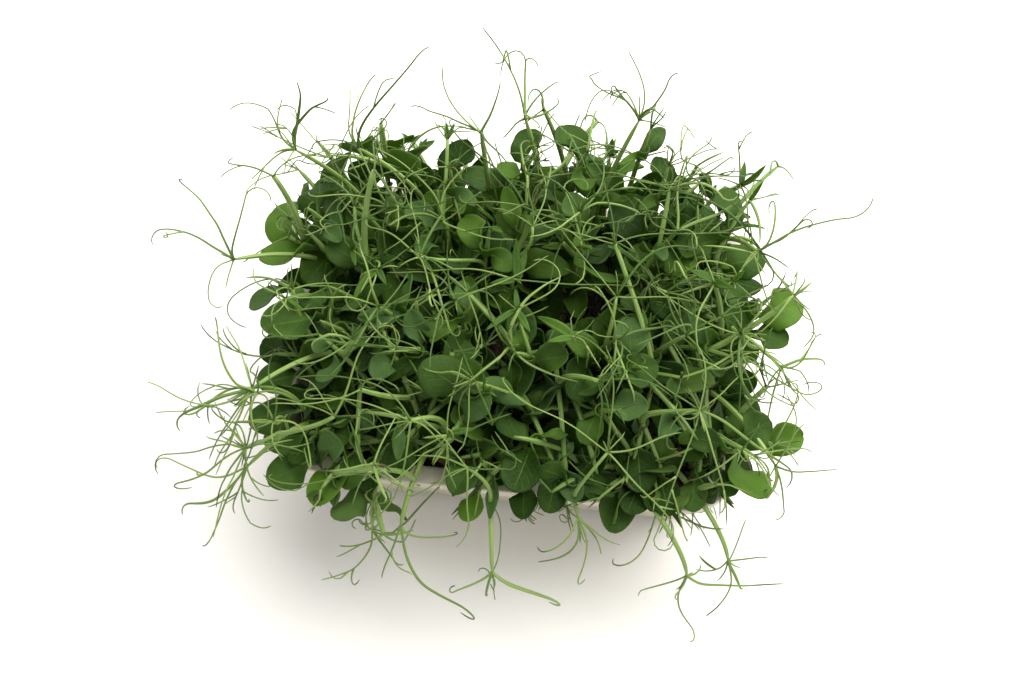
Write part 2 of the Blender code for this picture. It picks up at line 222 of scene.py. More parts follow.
def noise_pattern(tree, scale, **values):
    """A soft random pattern in the space of the whole tray."""
    return put(tree, "ShaderNodeTexNoise", None, Vector=body_place(tree), Scale=scale, **values).outputs[0]


def attribute(tree, name):
    """A mark that the mesh carries on its points."""
    return put(tree, "ShaderNodeAttribute", {"attribute_name": name}).outputs["Fac"]


# %% [markdown]
# ### Slow variation
#
# No two shoots in a tray are quite the same green, and one blade is never the same green all over.
# A noise pattern in the space of the whole tray gives both: at a low scale it drifts from shoot to
# shoot, at a higher one it mottles each blade.

# %% Group: slow variation
def make_variation_group():
    tree, given, result = new_group("slow_variation", {"Scale": 30.0, "Low": 0.35, "High": 0.65})
    pattern = noise_pattern(tree, given.outputs["Scale"], Detail=3.0, Roughness=0.55)
    feed(tree, result, Mask=ramp_up(tree, pattern, given.outputs["Low"], given.outputs["High"]))
    return tree


variation_group = make_variation_group()

# %% [markdown]
# ### Leaf veins
#
# A pea blade has one midrib and pairs of side veins that run forward to the edge, with a fine net
# between them. The blades carry a map: the first number runs from the clasping base to the tip, the
# second from edge to edge. The midrib is where the second is one half. The side veins are a repeating
# saw tooth, tilted by how far from the midrib it is. A cell pattern makes the net.

# %% Group: leaf veins
def make_vein_group():
    named = {"Side Veins": 7.0, "Vein Width": 0.10, "Net Strength": 0.15}
    tree, given, result = new_group("leaf_veins", named, ("Mask", "Height"))
    along, across = surface_map(tree)
    wander = scaled(tree, noise_pattern(tree, 220.0, Detail=1.0), 0.16, -0.08)
    aside = maths(tree, "ABSOLUTE", maths(tree, "SUBTRACT", across, 0.5))
    rib_width = scaled(tree, along, -0.022, 0.034)
    midrib = ramp_down(tree, aside, 0.004, rib_width)

    tilted = scaled(tree, aside, -0.75, maths(tree, "ADD", along, wander))
    tooth = maths(tree, "FRACT", times(tree, tilted, given.outputs["Side Veins"]))
    middle = maths(tree, "ABSOLUTE", maths(tree, "SUBTRACT", tooth, 0.5))
    side = ramp_down(tree, middle, 0.0, given.outputs["Vein Width"])
    side = times(tree, side, ramp_down(tree, aside, 0.22, 0.48))

    to_edge = {"feature": "DISTANCE_TO_EDGE"}
    cells = put(tree, "ShaderNodeTexVoronoi", to_edge, Vector=body_place(tree), Scale=900.0)
    net = ramp_down(tree, cells.outputs["Distance"], 0.0, 0.16)
    net = times(tree, net, given.outputs["Net Strength"])
    mask = maths(tree, "MAXIMUM", maths(tree, "MAXIMUM", midrib, times(tree, side, 0.55)), net)
    low = times(tree, maths(tree, "MAXIMUM", midrib, side), -0.6)
    feed(tree, result, Mask=mask, Height=scaled(tree, net, -0.25, low))
    return tree


vein_group = make_vein_group()

# %% [markdown]
# ### Wax bloom
#
# Pea leaves carry a thin grey-blue wax that rubs off where blades touch. It lies in soft patches
# broken by small flecks, and makes the surface duller where it is thick.

# %% Group: wax bloom
def make_bloom_group():
    tree, given, result = new_group("wax_bloom", {"Amount": 0.5, "Patch Scale": 90.0})
    patches = noise_pattern(tree, given.outputs["Patch Scale"], Detail=4.0, Roughness=0.6)
    soft = ramp_up(tree, patches, 0.42, 0.72)
    fine = ramp_up(tree, noise_pattern(tree, 1600.0, Detail=2.0), 0.35, 0.6)
    feed(tree, result, Mask=times(tree, times(tree, soft, fine), given.outputs["Amount"]))
    return tree


bloom_group = make_bloom_group()

# %% [markdown]
# ### Ribs along a stem, and dry tips on a thread
#
# Stems and threads carry the same map as blades: the first number runs from root to tip, the second
# once round. A few sine waves round the stem make its ribs. The last part of many threads has dried
# to brown, and how much of it comes from a number stored on each thread's points.

# %% Groups: ribs and dry tips
def make_rib_group():
    tree, given, result = new_group("stem_ribs", {"Ribs": 7.0})
    _, around = surface_map(tree)
    turn = times(tree, around, times(tree, given.outputs["Ribs"], 2 * math.pi))
    feed(tree, result, Mask=scaled(tree, maths(tree, "SINE", turn), 0.5, 0.5))
    return tree


def make_tip_group():
    tree, given, result = new_group("dry_tips", {"Softness": 0.14})
    along, _ = surface_map(tree)
    begins = maths(tree, "SUBTRACT", 1.0, attribute(tree, "dryness"))
    ends = maths(tree, "ADD", begins, given.outputs["Softness"])
    feed(tree, result, Mask=ramp_up(tree, along, begins, ends))
    return tree


rib_group = make_rib_group()
tip_group = make_tip_group()
print("node groups:", ", ".join(group.name for group in bpy.data.node_groups))


# %% [markdown]
# ### The plant's two finishes
#
# Blades are thin enough to let light through, which is why leaves between the viewer and a window
# glow yellow-green. So the leaf finish mixes its Principled shader with a Translucent one. The stem
# and its threads are juicy rather than thin, and get a little light under the skin instead.

# %% A blank finish
def start_finish(name):
    made = bpy.data.materials.new(name)
    made.use_nodes = True
    tree = made.node_tree
    return made, tree, tree.nodes["Principled BSDF"]


def use_group(tree, group, **values):
    node = tree.nodes.new("ShaderNodeGroup")
    node.node_tree = group
    return feed(tree, node, **values).outputs


def bump(tree, shader, height, distance, strength=1.0):
    node = put(tree, "ShaderNodeBump", None, Height=height, Distance=distance, Strength=strength)
    feed(tree, shader, Normal=node.outputs[0])


# %% Leaf finish
LEAF_DEEP = (0.017, 0.048, 0.004, 1.0)
LEAF_FRESH = (0.110, 0.215, 0.026, 1.0)
LEAF_VEIN = (0.15, 0.28, 0.045, 1.0)
LEAF_BLOOM = (0.105, 0.198, 0.068, 1.0)
LEAF_BELOW = (0.12, 0.205, 0.045, 1.0)
GLOW_DEEP = (0.03, 0.13, 0.002, 1.0)
GLOW_FRESH = (0.31, 0.51, 0.030, 1.0)
GLOW_SHARE = 0.36


def make_leaf_finish():
    made, tree, shader = start_finish("pea_leaf")
    drift = use_group(tree, variation_group, Scale=28.0, Low=0.35, High=0.68)["Mask"]
    mottle = use_group(tree, variation_group, Scale=170.0, Low=0.3, High=0.75)["Mask"]
    veins = use_group(tree, vein_group)
    patches = use_group(tree, bloom_group, Amount=0.6)["Mask"]
    # Painted light and shade: the youth mark also darkens blades low in the crowd and lightens lit and
    # glowing ones, so this blend from deep to fresh green is partly painted light.
    young_and_painted_light = scaled(tree, drift, 0.15, attribute(tree, "youth"))
    young_and_painted_light = scaled(tree, mottle, 0.22, young_and_painted_light)
    bloom = times(tree, attribute(tree, "wax"), maths(tree, "ADD", patches, 0.45))

    colour = blend(tree, young_and_painted_light, LEAF_DEEP, LEAF_FRESH)
    colour = blend(tree, bloom, colour, LEAF_BLOOM)
    colour = blend(tree, times(tree, veins["Mask"], 0.6), colour, LEAF_VEIN)
    below = times(tree, attribute(tree, "below"), 0.7)
    colour = blend(tree, below, colour, LEAF_BELOW)
    rough = scaled(tree, bloom, 0.15, 0.5)
    feed(tree, shader, Base_Color=colour, Roughness=rough, Specular_IOR_Level=0.12)
    bump(tree, shader, scaled(tree, mottle, 0.6, veins["Height"]), 0.14 * MM)

    glow = put(tree, "ShaderNodeBsdfTranslucent")
    glow_colour = blend(tree, young_and_painted_light, GLOW_DEEP, GLOW_FRESH)
    darker_veins = times(tree, veins["Mask"], 0.45)
    feed(tree, glow, Color=blend(tree, darker_veins, glow_colour, GLOW_DEEP))
    both = put(tree, "ShaderNodeMixShader", None, i0=GLOW_SHARE, i1=shader.outputs[0], i2=glow.outputs[0])
    feed(tree, tree.nodes["Material Output"], Surface=both.outputs[0])
    return made


leaf_finish = make_leaf_finish()

# %% Stem and thread finish
STEM_PALE = (0.245, 0.36, 0.10, 1.0)
STEM_GREEN = (0.085, 0.165, 0.022, 1.0)
THREAD_DEEP = (0.058, 0.124, 0.014, 1.0)
THREAD_PALE = (0.28, 0.405, 0.105, 1.0)
DRY_BROWN = (0.050, 0.042, 0.022, 1.0)
STEM_GLOW = (0.0015, 0.0022, 0.0006)


def make_stem_finish():
    made, tree, shader = start_finish("pea_stem")
    drift = use_group(tree, variation_group, Scale=45.0, Low=0.3, High=0.7)["Mask"]
    flecks = use_group(tree, variation_group, Scale=700.0, Low=0.45, High=0.75)["Mask"]
    ribs = use_group(tree, rib_group)["Mask"]
    dry = use_group(tree, tip_group)["Mask"]
    pale = times(tree, scaled(tree, ribs, 0.35, drift), 0.7)
    stem_colour = blend(tree, pale, STEM_GREEN, STEM_PALE)
    # Painted light: the slender mark blends sprawling stems half way to the thread green, and the youth mark
    # makes threads past the rim paler, both for the light they stand in.
    thread_colour = blend(tree, attribute(tree, "youth"), THREAD_DEEP, THREAD_PALE)
    colour = blend(tree, attribute(tree, "slender"), stem_colour, thread_colour)
    colour = blend(tree, times(tree, flecks, 0.15), colour, STEM_PALE)
    colour = blend(tree, times(tree, dry, 0.9), colour, DRY_BROWN)
    rough = scaled(tree, flecks, 0.15, 0.42)
    feed(tree, shader, Base_Color=colour, Roughness=rough, Specular_IOR_Level=0.35)
    feed(tree, shader, Subsurface_Weight=0.10, Subsurface_Radius=STEM_GLOW, Subsurface_Scale=0.6)
    bump(tree, shader, ribs, 0.10 * MM)
    return made


stem_finish = make_stem_finish()

# %% [markdown]
# ### Plastic, peat and seed
#
# The punnet is formed from thin white sheet: satin, with faint drawing marks and a few specks of
# peat dust in patches. Peat is a jumble of fibres and crumbs, so its colour and its height come
# from the same patterns. The pea seeds under the shoots are pale, wrinkled and stained.

# %% Punnet finish
# Painted shade: the plastic's white and grey are darkened and warmed to beige, the tone its front wall takes
# in the shade, so its lit sides look cream.
PLASTIC_WHITE_IN_PAINTED_SHADE = (0.60, 0.55, 0.44, 1.0)
PLASTIC_GREY_IN_PAINTED_SHADE = (0.52, 0.475, 0.375, 1.0)
DUST_BROWN = (0.16, 0.11, 0.07, 1.0)


def make_plastic_finish():
    made, tree, shader = start_finish("white_punnet")
    cloudy = use_group(tree, variation_group, Scale=22.0, Low=0.35, High=0.75)["Mask"]
    marks = noise_pattern(tree, 900.0, Detail=3.0)
    specks = put(tree, "ShaderNodeTexVoronoi", None, Vector=body_place(tree), Scale=260.0)
    speck = ramp_down(tree, specks.outputs["Distance"], 0.05, 0.11)
    here = use_group(tree, variation_group, Scale=60.0, Low=0.58, High=0.72)["Mask"]
    colour = blend(tree, times(tree, cloudy, 0.5), PLASTIC_WHITE_IN_PAINTED_SHADE, PLASTIC_GREY_IN_PAINTED_SHADE)
    dust = times(tree, times(tree, speck, here), 0.7)
    rough = scaled(tree, marks, 0.16, scaled(tree, cloudy, 0.06, 0.24))
    feed(tree, shader, Base_Color=blend(tree, dust, colour, DUST_BROWN), Roughness=rough)
    feed(tree, shader, Subsurface_Weight=0.15, Subsurface_Radius=(0.002, 0.002, 0.0018))
    bump(tree, shader, marks, 0.05 * MM, 0.5)
    return made


plastic_finish = make_plastic_finish()

# %% Peat and seed finishes
PEAT_DARK = (0.010, 0.0065, 0.004, 1.0)
PEAT_BROWN = (0.060, 0.036, 0.020, 1.0)
FIBRE_TAN = (0.17, 0.105, 0.055, 1.0)
SEED_TAN = (0.40, 0.30, 0.14, 1.0)
SEED_GREEN = (0.22, 0.24, 0.08, 1.0)


def make_peat_finish():
    made, tree, shader = start_finish("peat_fibre")
    place = body_place(tree)
    crumbs = put(tree, "ShaderNodeTexVoronoi", None, Vector=place, Scale=520.0)
    grain = noise_pattern(tree, 380.0, Detail=6.0, Roughness=0.7)
    waves = put(tree, "ShaderNodeTexWave", None, Vector=place, Scale=110.0, Distortion=18.0, Detail=4.0)
    fibre = ramp_up(tree, waves.outputs["Fac"], 0.86, 0.97)
    colour = blend(tree, ramp_up(tree, grain, 0.35, 0.7), PEAT_DARK, PEAT_BROWN)
    colour = blend(tree, times(tree, fibre, 0.5), colour, FIBRE_TAN)
    feed(tree, shader, Base_Color=colour, Roughness=scaled(tree, grain, 0.2, 0.75))
    bump(tree, shader, scaled(tree, crumbs.outputs["Distance"], -0.5, grain), 1.0 * MM)
    return made


def make_seed_finish():
    made, tree, shader = start_finish("pea_seed")
    stain = use_group(tree, variation_group, Scale=160.0, Low=0.35, High=0.65)["Mask"]
    wrinkle = noise_pattern(tree, 650.0, Detail=3.0)
    colour = blend(tree, stain, SEED_TAN, SEED_GREEN)
    feed(tree, shader, Base_Color=colour, Roughness=scaled(tree, wrinkle, 0.3, 0.35))
    bump(tree, shader, wrinkle, 0.3 * MM)
    return made


peat_finish = make_peat_finish()
seed_finish = make_seed_finish()
print("finishes:", ", ".join(material.name for material in bpy.data.materials if material.use_nodes))

# %% [markdown]
# ## The table
#
# A pale table top catches the shadow. It is stage, not part of the object.

# %% Table
TABLE_HALF = 2.5
TABLE_WHITE = (0.88, 0.86, 0.825, 1.0)
TABLE_PALER = (0.90, 0.885, 0.855, 1.0)


def make_table():
    mesh = bpy.data.meshes.new("table_top")
    corners = [(-1, -1), (1, -1), (1, 1), (-1, 1)]
    mesh.from_pydata([(x * TABLE_HALF, y * TABLE_HALF, 0.0) for x, y in corners], [], [(0, 1, 2, 3)])
    made, tree, shader = start_finish("table_paint")
    shade = use_group(tree, variation_group, Scale=3.0, Low=0.2, High=0.8)["Mask"]
    colour = blend(tree, shade, TABLE_WHITE, TABLE_PALER)
    feed(tree, shader, Base_Color=colour, Roughness=0.8, Specular_IOR_Level=0.1)
    mesh.materials.append(made)
    table = add_object("table_top", mesh)
    table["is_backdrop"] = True


make_table()

# %% [markdown]
# ## Collecting a piece
#
# Thousands of small surfaces make up the plants. Each is plain lists of points and faces, and a
# Surfaces object collects those of one piece. Every point also stores a few marks for the finishes to
# read: how young its part of the plant is, with painted light and shade in the same mark (darker low in
# the crowd, paler where it is lit or glows), how waxy it is, whether it is on a blade's underside, how dry
# its thread is, and how slender it is, with painted light again for stems that stand in the light.

# %% Surfaces
class Surfaces:
    """Closed surfaces that become one mesh."""

    MARKS = ("youth", "wax", "below", "dryness", "slender")

    def __init__(self):
        self.points, self.faces, self.corners = [], [], []
        self.marks = {label: [] for label in self.MARKS}

    def add(self, points, faces, corners, **marks):
        """corners holds the (along, across) pair of every corner of every face, in order.

        marks are numbers for the finishes to read: one for the whole surface, or a list with one a point.
        """
        start = len(self.points)
        self.points += points
        self.faces += [tuple(start + index for index in face) for face in faces]
        self.corners += corners
        for label, values in self.marks.items():
            value = marks.get(label, 0.0)
            values += value if isinstance(value, list) else [value] * len(points)

    def make(self, name, finish):
        mesh = bpy.data.meshes.new(name)
        mesh.from_pydata(self.points, [], self.faces)
        layer = mesh.uv_layers.new(name="surface")
        layer.data.foreach_set("uv", np.array(self.corners, np.float32).ravel())
        for label, values in self.marks.items():
            mesh.attributes.new(label, "FLOAT", "POINT").data.foreach_set("value", values)
        mesh.materials.append(finish)
        mesh.shade_smooth()
        return add_object(name, mesh)


# %% [markdown]
# ### A tube
#
# Stems and threads are tubes swept along a route. The frame that carries the ring is turned only as
# much as the route bends, so the tube never twists. The start is closed flat inside whatever it grows
# from, and the end runs to a blunt point.

# %% Tubes
def turned(vector, axis, degrees):
    return Matrix.Rotation(math.radians(degrees), 3, axis) @ vector


def level_way(degrees):
    """A level direction: 0 degrees is along +X, and 90 is along +Y."""
    return turned(Vector((1.0, 0.0, 0.0)), UP, degrees)


def square_to(direction, towards):
    """The unit vector square to direction that is nearest to towards."""
    return (towards - direction * towards.dot(direction)).normalized()


def heading_at(route, index):
    return (route[min(index + 1, len(route) - 1)] - route[max(index - 1, 0)]).normalized()


def end_heading(route):
    return heading_at(route, len(route) - 1)


def fanned(forward, degrees):
    """A way square to forward, this far round it."""
    return turned(square_to(forward, UP + Vector((0.1, 0.0, 0.0))), forward, degrees)


def loft(surfaces, rings, **marks):
    """A closed solid through rings of equally many points."""
    last, count = len(rings) - 1, len(rings[0])
    faces, corners = [], []
    for i in range(last):
        near, far = i * count, (i + 1) * count
        for j in range(count):
            k = (j + 1) % count
            left, right = j / count, (j + 1) / count
            faces.append((near + j, near + k, far + k, far + j))
            corners += [(i / last, left), (i / last, right), ((i + 1) / last, right), ((i + 1) / last, left)]
    faces += [tuple(reversed(range(count))), tuple(last * count + j for j in range(count))]
    corners += [(0.0, 0.5)] * count + [(1.0, 0.5)] * count
    surfaces.add([point for ring in rings for point in ring], faces, corners, **marks)


def add_tube(surfaces, route, radii, sides, rib=0.0, **marks):
    """Sweeps a ring along route; rib deepens every second corner, as on a ribbed stem."""
    side_way = square_to(heading_at(route, 0), Vector((0.31, 0.17, 0.93)))
    rings = []
    for i, centre in enumerate(route):
        forward = heading_at(route, i)
        side_way = square_to(forward, side_way)
        other_way = forward.cross(side_way)
        ring = []
        for side in range(sides):
            angle = 2 * math.pi * side / sides
            radius = radii[i] * (1 - rib * (side % 2))
            ring.append(centre + (side_way * math.cos(angle) + other_way * math.sin(angle)) * radius)
        rings.append(ring)
    loft(surfaces, rings, **marks)


def tapered(first, last, count):
    return [first + (last - first) * i / (count - 1) for i in range(count)]


# %% [markdown]
# ### A thin blade
#
# A leaf is a sheet of points, given its thickness: one skin above it, one below, both meeting in one
# line all round. The skins stand apart by the blade's thickness everywhere inside and meet at the edge,
# so the edge catches a fine line of light.

# %% Thin solids
BLADE_THICKNESS = 0.45 * MM


def add_thin_solid(surfaces, sheet, alongs, acrosses, thickness=BLADE_THICKNESS, **marks):
    """Gives a sheet of points (rows of equally many) its thickness, closed along its border."""
    grid = np.array([[tuple(point) for point in row] for row in sheet])
    rows, columns = grid.shape[:2]
    down = np.gradient(grid, axis=0)
    over = np.gradient(grid, axis=1)
    facing = np.cross(over, down)
    facing /= np.maximum(np.linalg.norm(facing, axis=2, keepdims=True), 1e-12)
    half = facing * thickness / 2
    inner = (slice(1, -1), slice(1, -1))
    above = grid.copy()
    above[inner] += half[inner]
    below = grid[inner] - half[inner]
    points = [tuple(p) for p in above.reshape(-1, 3)] + [tuple(p) for p in below.reshape(-1, 3)]

    def lower_index(i, j):
        if 0 < i < rows - 1 and 0 < j < columns - 1:
            return rows * columns + (i - 1) * (columns - 2) + (j - 1)
        return i * columns + j

    faces, corners = [], []
    for i in range(rows - 1):
        for j in range(columns - 1):
            around = ((i, j + 1), (i + 1, j + 1), (i + 1, j), (i, j))
            faces.append(tuple(a * columns + b for a, b in around))
            corners += [(alongs[a], acrosses[b]) for a, b in around]
            faces.append(tuple(lower_index(a, b) for a, b in reversed(around)))
            corners += [(alongs[a], acrosses[b]) for a, b in reversed(around)]
    below = [0.0] * (rows * columns) + [1.0] * ((rows - 2) * (columns - 2))
    surfaces.add(points, faces, corners, below=below, **marks)

# %% [markdown]
# ## Where everything grows
#
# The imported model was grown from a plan: sowing places in staggered rows, stems that lean out to the
# light, and a search that turns each leaf pair until it has room. The same plan is worked out here, so
# every fine shoot stands exactly where its packed one does. Its sizes come first.

# %% Sizes of the tray and its bed
TRAY_LENGTH = 160 * MM
TRAY_WIDTH = 116 * MM
TRAY_HEIGHT = 48 * MM
RIM_WIDTH = 5.5 * MM
RIM_CORNER_RADIUS = 21 * MM
SKIRT_DROP = 4 * MM
WALL = 1 * MM
WALL_DRAFT = 8.5 * MM
BASE_FILLET = 5 * MM

MEDIUM_TOP = 38.5 * MM
MEDIUM_BUMP = 0.7 * MM
MEDIUM_BUMPS_PER_METRE = 35
GAP = 0.4 * MM

tray_low, tray_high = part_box("tray")
print("tray in the model, mm:", [round(value / MM, 1) for value in tray_high - tray_low])

# %% Sizes of the shoots
SHOOT_COLUMNS = 7
SHOOT_ROWS = 4
SOWN_LENGTH = 134 * MM
SOWN_WIDTH = 80 * MM
SOWING_SCATTER = 2.5 * MM
SOWING_SEED = 11
SHOOT_HEIGHT = 56 * MM
OUTWARD_LEAN = 14 * MM
STEM_RADIUS = 1.35 * MM
STEM_TIP_RADIUS = 0.95 * MM

STEM_POINTS = 25
LEAF_POINTS = (15, 12, 18)
SPRAWLING_LEAF_POINTS = (9, 12, 15, 18)

BLADE_LENGTH = 18 * MM
BLADE_WIDTH = 16 * MM
BLADE_CUP = 0.25
COLLAR_CLEARANCE = 0.9 * MM
COLLAR_HALF_HEIGHT = 2 * MM

BUD_LENGTH = 13 * MM
BUD_RADIUS = 0.8 * MM
BUD_SHAPE = ((0.0, 0.6), (0.45, 1.2), (0.8, 0.9), (1.0, 0.3))
TENDRIL_LENGTH = 32 * MM
TENDRIL_RADIUS = 0.45 * MM
TENDRIL_POINTS = 6
TENDRILS_INSIDE = 4

SPACING = 1.0 * MM
TRIES = 70

# %% [markdown]
# The shoots round the edge sprawl past the rim. Each is keyed by its row and column in the bed, and
# given in millimetres: the end of its stem, then where its tendrils end, measured from there.

# %% The sprawling shoots
SPRAWL = {
    (0, 0): ((-80, -66, 66), (-30, 0, 6), (-22, -13, -8), (-12, -26, -18), (2, -10, -6)),
    (0, 1): ((-40, -74, 44), (-15, -17, -6), (12, -11, -9), (-3, 6, 12)),
    (0, 2): ((-30, -75, 51), (-15, 2, 4), (22, 1, 2), (31, -22, -18)),
    (0, 3): ((1, -84, 42), (-15, -8, -4), (25, -7, -4), (0, -4, -9)),
    (0, 4): ((27, -68, 58), (-12, -12, -10), (0, -20, -14), (9, -9, -8)),
    (0, 5): ((64, -78, 42), (32, 2, -2), (-3, -7, -6), (6, -16, -16)),
    (0, 6): ((77, -72, 44), (12, 2, 3), (-6, -16, -9), (6, -8, -9)),
    (1, 0): ((-80, -46, 82), (-13, 18, 14), (-32, 0, 2), (-26, -12, -8), (-6, -22, -8)),
    (1, 6): ((87, -50, 74), (6, 9, 13), (19, 0, 1), (6, -12, -14), (-3, -9, -11)),
    (2, 0): ((-93, -4, 90), (-24, 18, 22), (-28, 0, 10), (-5, -15, -8), (3, 22, 22)),
    (2, 6): ((87, -18, 80), (9, 8, 13), (16, 4, -2), (8, -10, 0), (-6, -16, 4)),
    (3, 0): ((-78, 33, 102), (-6, 12, 12), (15, 12, 15), (1, 13, 21), (-14, -12, -4)),
    (3, 1): ((-57, 34, 105), (4, 20, 17), (22, 26, 28), (-4, 14, 13), (12, 6, 10)),
    (3, 2): ((-17, 41, 110), (-13, 12, 18), (5, 9, 17), (-24, 2, 11), (10, -9, -2)),
    (3, 3): ((-3, 46, 113), (-16, 17, 23), (0, 14, 19), (13, 7, 5), (6, -9, 8)),
    (3, 4): ((34, 52, 110), (-10, 8, 11), (-5, 14, 17), (9, 8, 15), (8, -4, 8)),
    (3, 5): ((50, 36, 100), (9, 9, 11), (19, 2, 4), (-21, -4, 9), (8, -12, 6)),
    (3, 6): ((76, 14, 97), (34, 10, 10), (15, 8, 14), (16, -9, -8), (3, 18, 8)),
}

# %% [markdown]
# ### Routes
#
# A stem leaves the peat upright and bends further the nearer it gets to its tip. A Bezier curve with
# one handle straight up does that. A tendril sets off along its stem and bows sideways on its way.

# %% Routes of stems and tendrils
def stem_route(base, tip):
    """An arc that leaves the peat upright and bends further the nearer it gets to its tip."""
    chord = tip - base
    lean = chord.angle(UP)
    side = square_to(UP, chord + Vector((1e-6, 0.0, 0.0)))
    arrival = UP * math.cos(2 * lean) + side * math.sin(2 * lean)
    reach = chord.length * (0.34 + 0.1 * lean)
    return interpolate_bezier(base, base + UP * reach, tip - arrival * reach, tip, STEM_POINTS)


def tendril_route(start, forward, end, bow, points=TENDRIL_POINTS):
    """A thread that sets off between forward and its end, and bows sideways on its way there."""
    way = end - start
    length = way.length
    sideways = square_to(way / length, UP)
    sideways = turned(sideways, way, bow["round"]) * bow["size"] * length
    first = start + (forward + way / length) * 0.2 * length
    second = end - way * 0.35 + sideways
    return interpolate_bezier(start, first + sideways, second, end, points)


# %% [markdown]
# ### Room to grow
#
# Plants in a tray push each other aside. The plan keeps a grid of small cells that remembers what
# stands where, and a new part is only placed if it is clear of the parts before it.

# %% Room to grow
def wall_inset(height):
    """How far in from the rim's edge the inner side of the wall is at this height."""
    rise = (height - BASE_FILLET) / (TRAY_HEIGHT - WALL - BASE_FILLET)
    return RIM_WIDTH + WALL + WALL_DRAFT * (1 - rise)


def medium_height(x, y):
    """The crumbly top of the peat, as low bumps."""
    place = Vector((x, y, 0.0)) * MEDIUM_BUMPS_PER_METRE
    return MEDIUM_TOP + MEDIUM_BUMP * noise.noise(place)


def cell_of(point, size):
    """The cell of a grid that this point lies in."""
    return tuple(math.floor(value / size) for value in point)


class Room:
    """Remembers where things already stand and how thick they are, so nothing grows through them."""

    CELL = 5 * MM

    def __init__(self):
        self.cells = {}

    def take(self, points, radius, owner):
        for point in points:
            self.cells.setdefault(cell_of(point, self.CELL), []).append((point, radius, owner))

    def neighbours(self, point):
        i, j, k = cell_of(point, self.CELL)
        for a in (i - 1, i, i + 1):
            for b in (j - 1, j, j + 1):
                for c in (k - 1, k, k + 1):
                    yield from self.cells.get((a, b, c), ())

    def is_free(self, points, radius, owner):
        """True if the points are clear of the tray and the peat, and of everything that isn't owner's."""
        for point in points:
            if not clear_of_tray(point, radius):
                return False
            for other, thickness, holder in self.neighbours(point):
                if holder != owner and (other - point).length < radius + thickness + SPACING:
                    return False
        return True


def clear_of_tray(point, radius):
    """True above the peat inside the tray, above its rim, or beside it and off the table."""
    margin = radius + 2 * SPACING
    inset = min(TRAY_LENGTH / 2 - abs(point.x), TRAY_WIDTH / 2 - abs(point.y))
    if inset < -margin:
        return point.z > margin
    if inset < wall_inset(MEDIUM_TOP) + margin:
        return point.z > TRAY_HEIGHT + margin
    return point.z > MEDIUM_TOP + margin


def filled_in(route, step=1.2 * MM):
    """The route with points added, no two further apart than step."""
    dense = [route[0]]
    for near, far in zip(route, route[1:]):
        count = max(1, math.ceil((far - near).length / step))
        dense += [near.lerp(far, (i + 1) / count) for i in range(count)]
    return dense


# %% [markdown]
# ### Stipules as sections
#
# The pair of blades at a node is one sheet: from one blade's tip, round behind the stem as a collar,
# to the other blade's tip. Each section of it is a centre, a direction for its width, a half-width,
# and how deeply it is cupped.

# %% Sections of a stipule pair
def blade_half_width(along):
    """Half the blade's width, from its clasping base to its blunt tip, as a share of the full width."""
    return 0.5 * math.sin(math.pi * (0.12 + 0.85 * along**0.85)) ** 0.6


def blade_frame(pair, side):
    """Where a blade is rooted, the way it runs, and the two ways that its width lies between."""
    axis, front = pair["axis"], pair["front"]
    flank = axis.cross(front)
    away = front * math.cos(pair["opening"]) + flank * side * math.sin(pair["opening"])
    along = away * math.cos(pair["lift"]) + axis * math.sin(pair["lift"])
    upright = square_to(along, axis)
    root = pair["node"] + flank * side * (STEM_RADIUS + COLLAR_CLEARANCE)
    return root, along, upright, along.cross(upright) * side


def width_way_at(share, twist, upright, level):
    """The way of a blade's width: it twists over the blade's first half and then keeps its turn."""
    turn = twist * min(1.0, share * 2.2)
    return upright * math.cos(turn) + level * math.sin(turn)


def collar_places(pair, steps):
    """Places round behind the stem, from one blade's root to the other's."""
    front = pair["front"]
    flank = pair["axis"].cross(front)
    for step in range(steps + 1):
        angle = math.pi * (step / steps - 0.5)
        place = flank * math.sin(angle) - front * math.cos(angle)
        yield pair["node"] + place * (STEM_RADIUS + COLLAR_CLEARANCE)


def stipule_sections(shoot, blade_steps, collar_steps):
    """Sections of a stipule pair, from one blade's tip, round behind the stem, to the other's.

    Each is (centre, width direction, half-width, how deeply it is cupped).
    """

    def blade(side):
        root, along, upright, level = blade_frame(shoot, side)
        for step in range(1, blade_steps + 1):
            share = step / blade_steps
            width_way = width_way_at(share, shoot["twist"], upright, level)
            sag = UP * BLADE_LENGTH * shoot["size"] * shoot["droop"] * share**2
            half = BLADE_WIDTH * shoot["size"] * blade_half_width(share)
            half = max(half, COLLAR_HALF_HEIGHT * (1 - share))
            place = root + along * BLADE_LENGTH * shoot["size"] * share - sag
            yield place, width_way, half, BLADE_CUP

    axis = shoot["axis"]
    collar = [(place, axis, COLLAR_HALF_HEIGHT, 0.0) for place in collar_places(shoot, collar_steps)]
    return list(blade(-1.0))[::-1] + collar + list(blade(1.0))


def along_at(sections, i):
    """The way that a sheet of sections runs at one of them."""
    return sections[min(i + 1, len(sections) - 1)][0] - sections[max(i - 1, 0)][0]


def sheet_rows(sections, rows):
    """Points across each section; the blade is cupped, so its edges stand proud of its middle."""
    sheet = []
    shares = [2 * row / (rows - 1) - 1 for row in range(rows)]
    for i, (centre, width_way, half, cup) in enumerate(sections):
        face_way = along_at(sections, i).cross(width_way).normalized()
        sheet.append([centre + (width_way * s + face_way * cup * s * s) * half for s in shares])
    return sheet


# %% Sown places
def staggered(rows, columns, length, width, stagger, scatter, draws):
    """(row, column, x, y) of places in rows, every second row shifted along, each place a little astray."""
    for row in range(rows):
        shift = stagger if row % 2 else -stagger
        for column in range(columns):
            x = length * ((column + 0.5 + shift) / columns - 0.5)
            y = width * (row / (rows - 1) - 0.5)
            yield row, column, x + draws.uniform(-scatter, scatter), y + draws.uniform(-scatter, scatter)


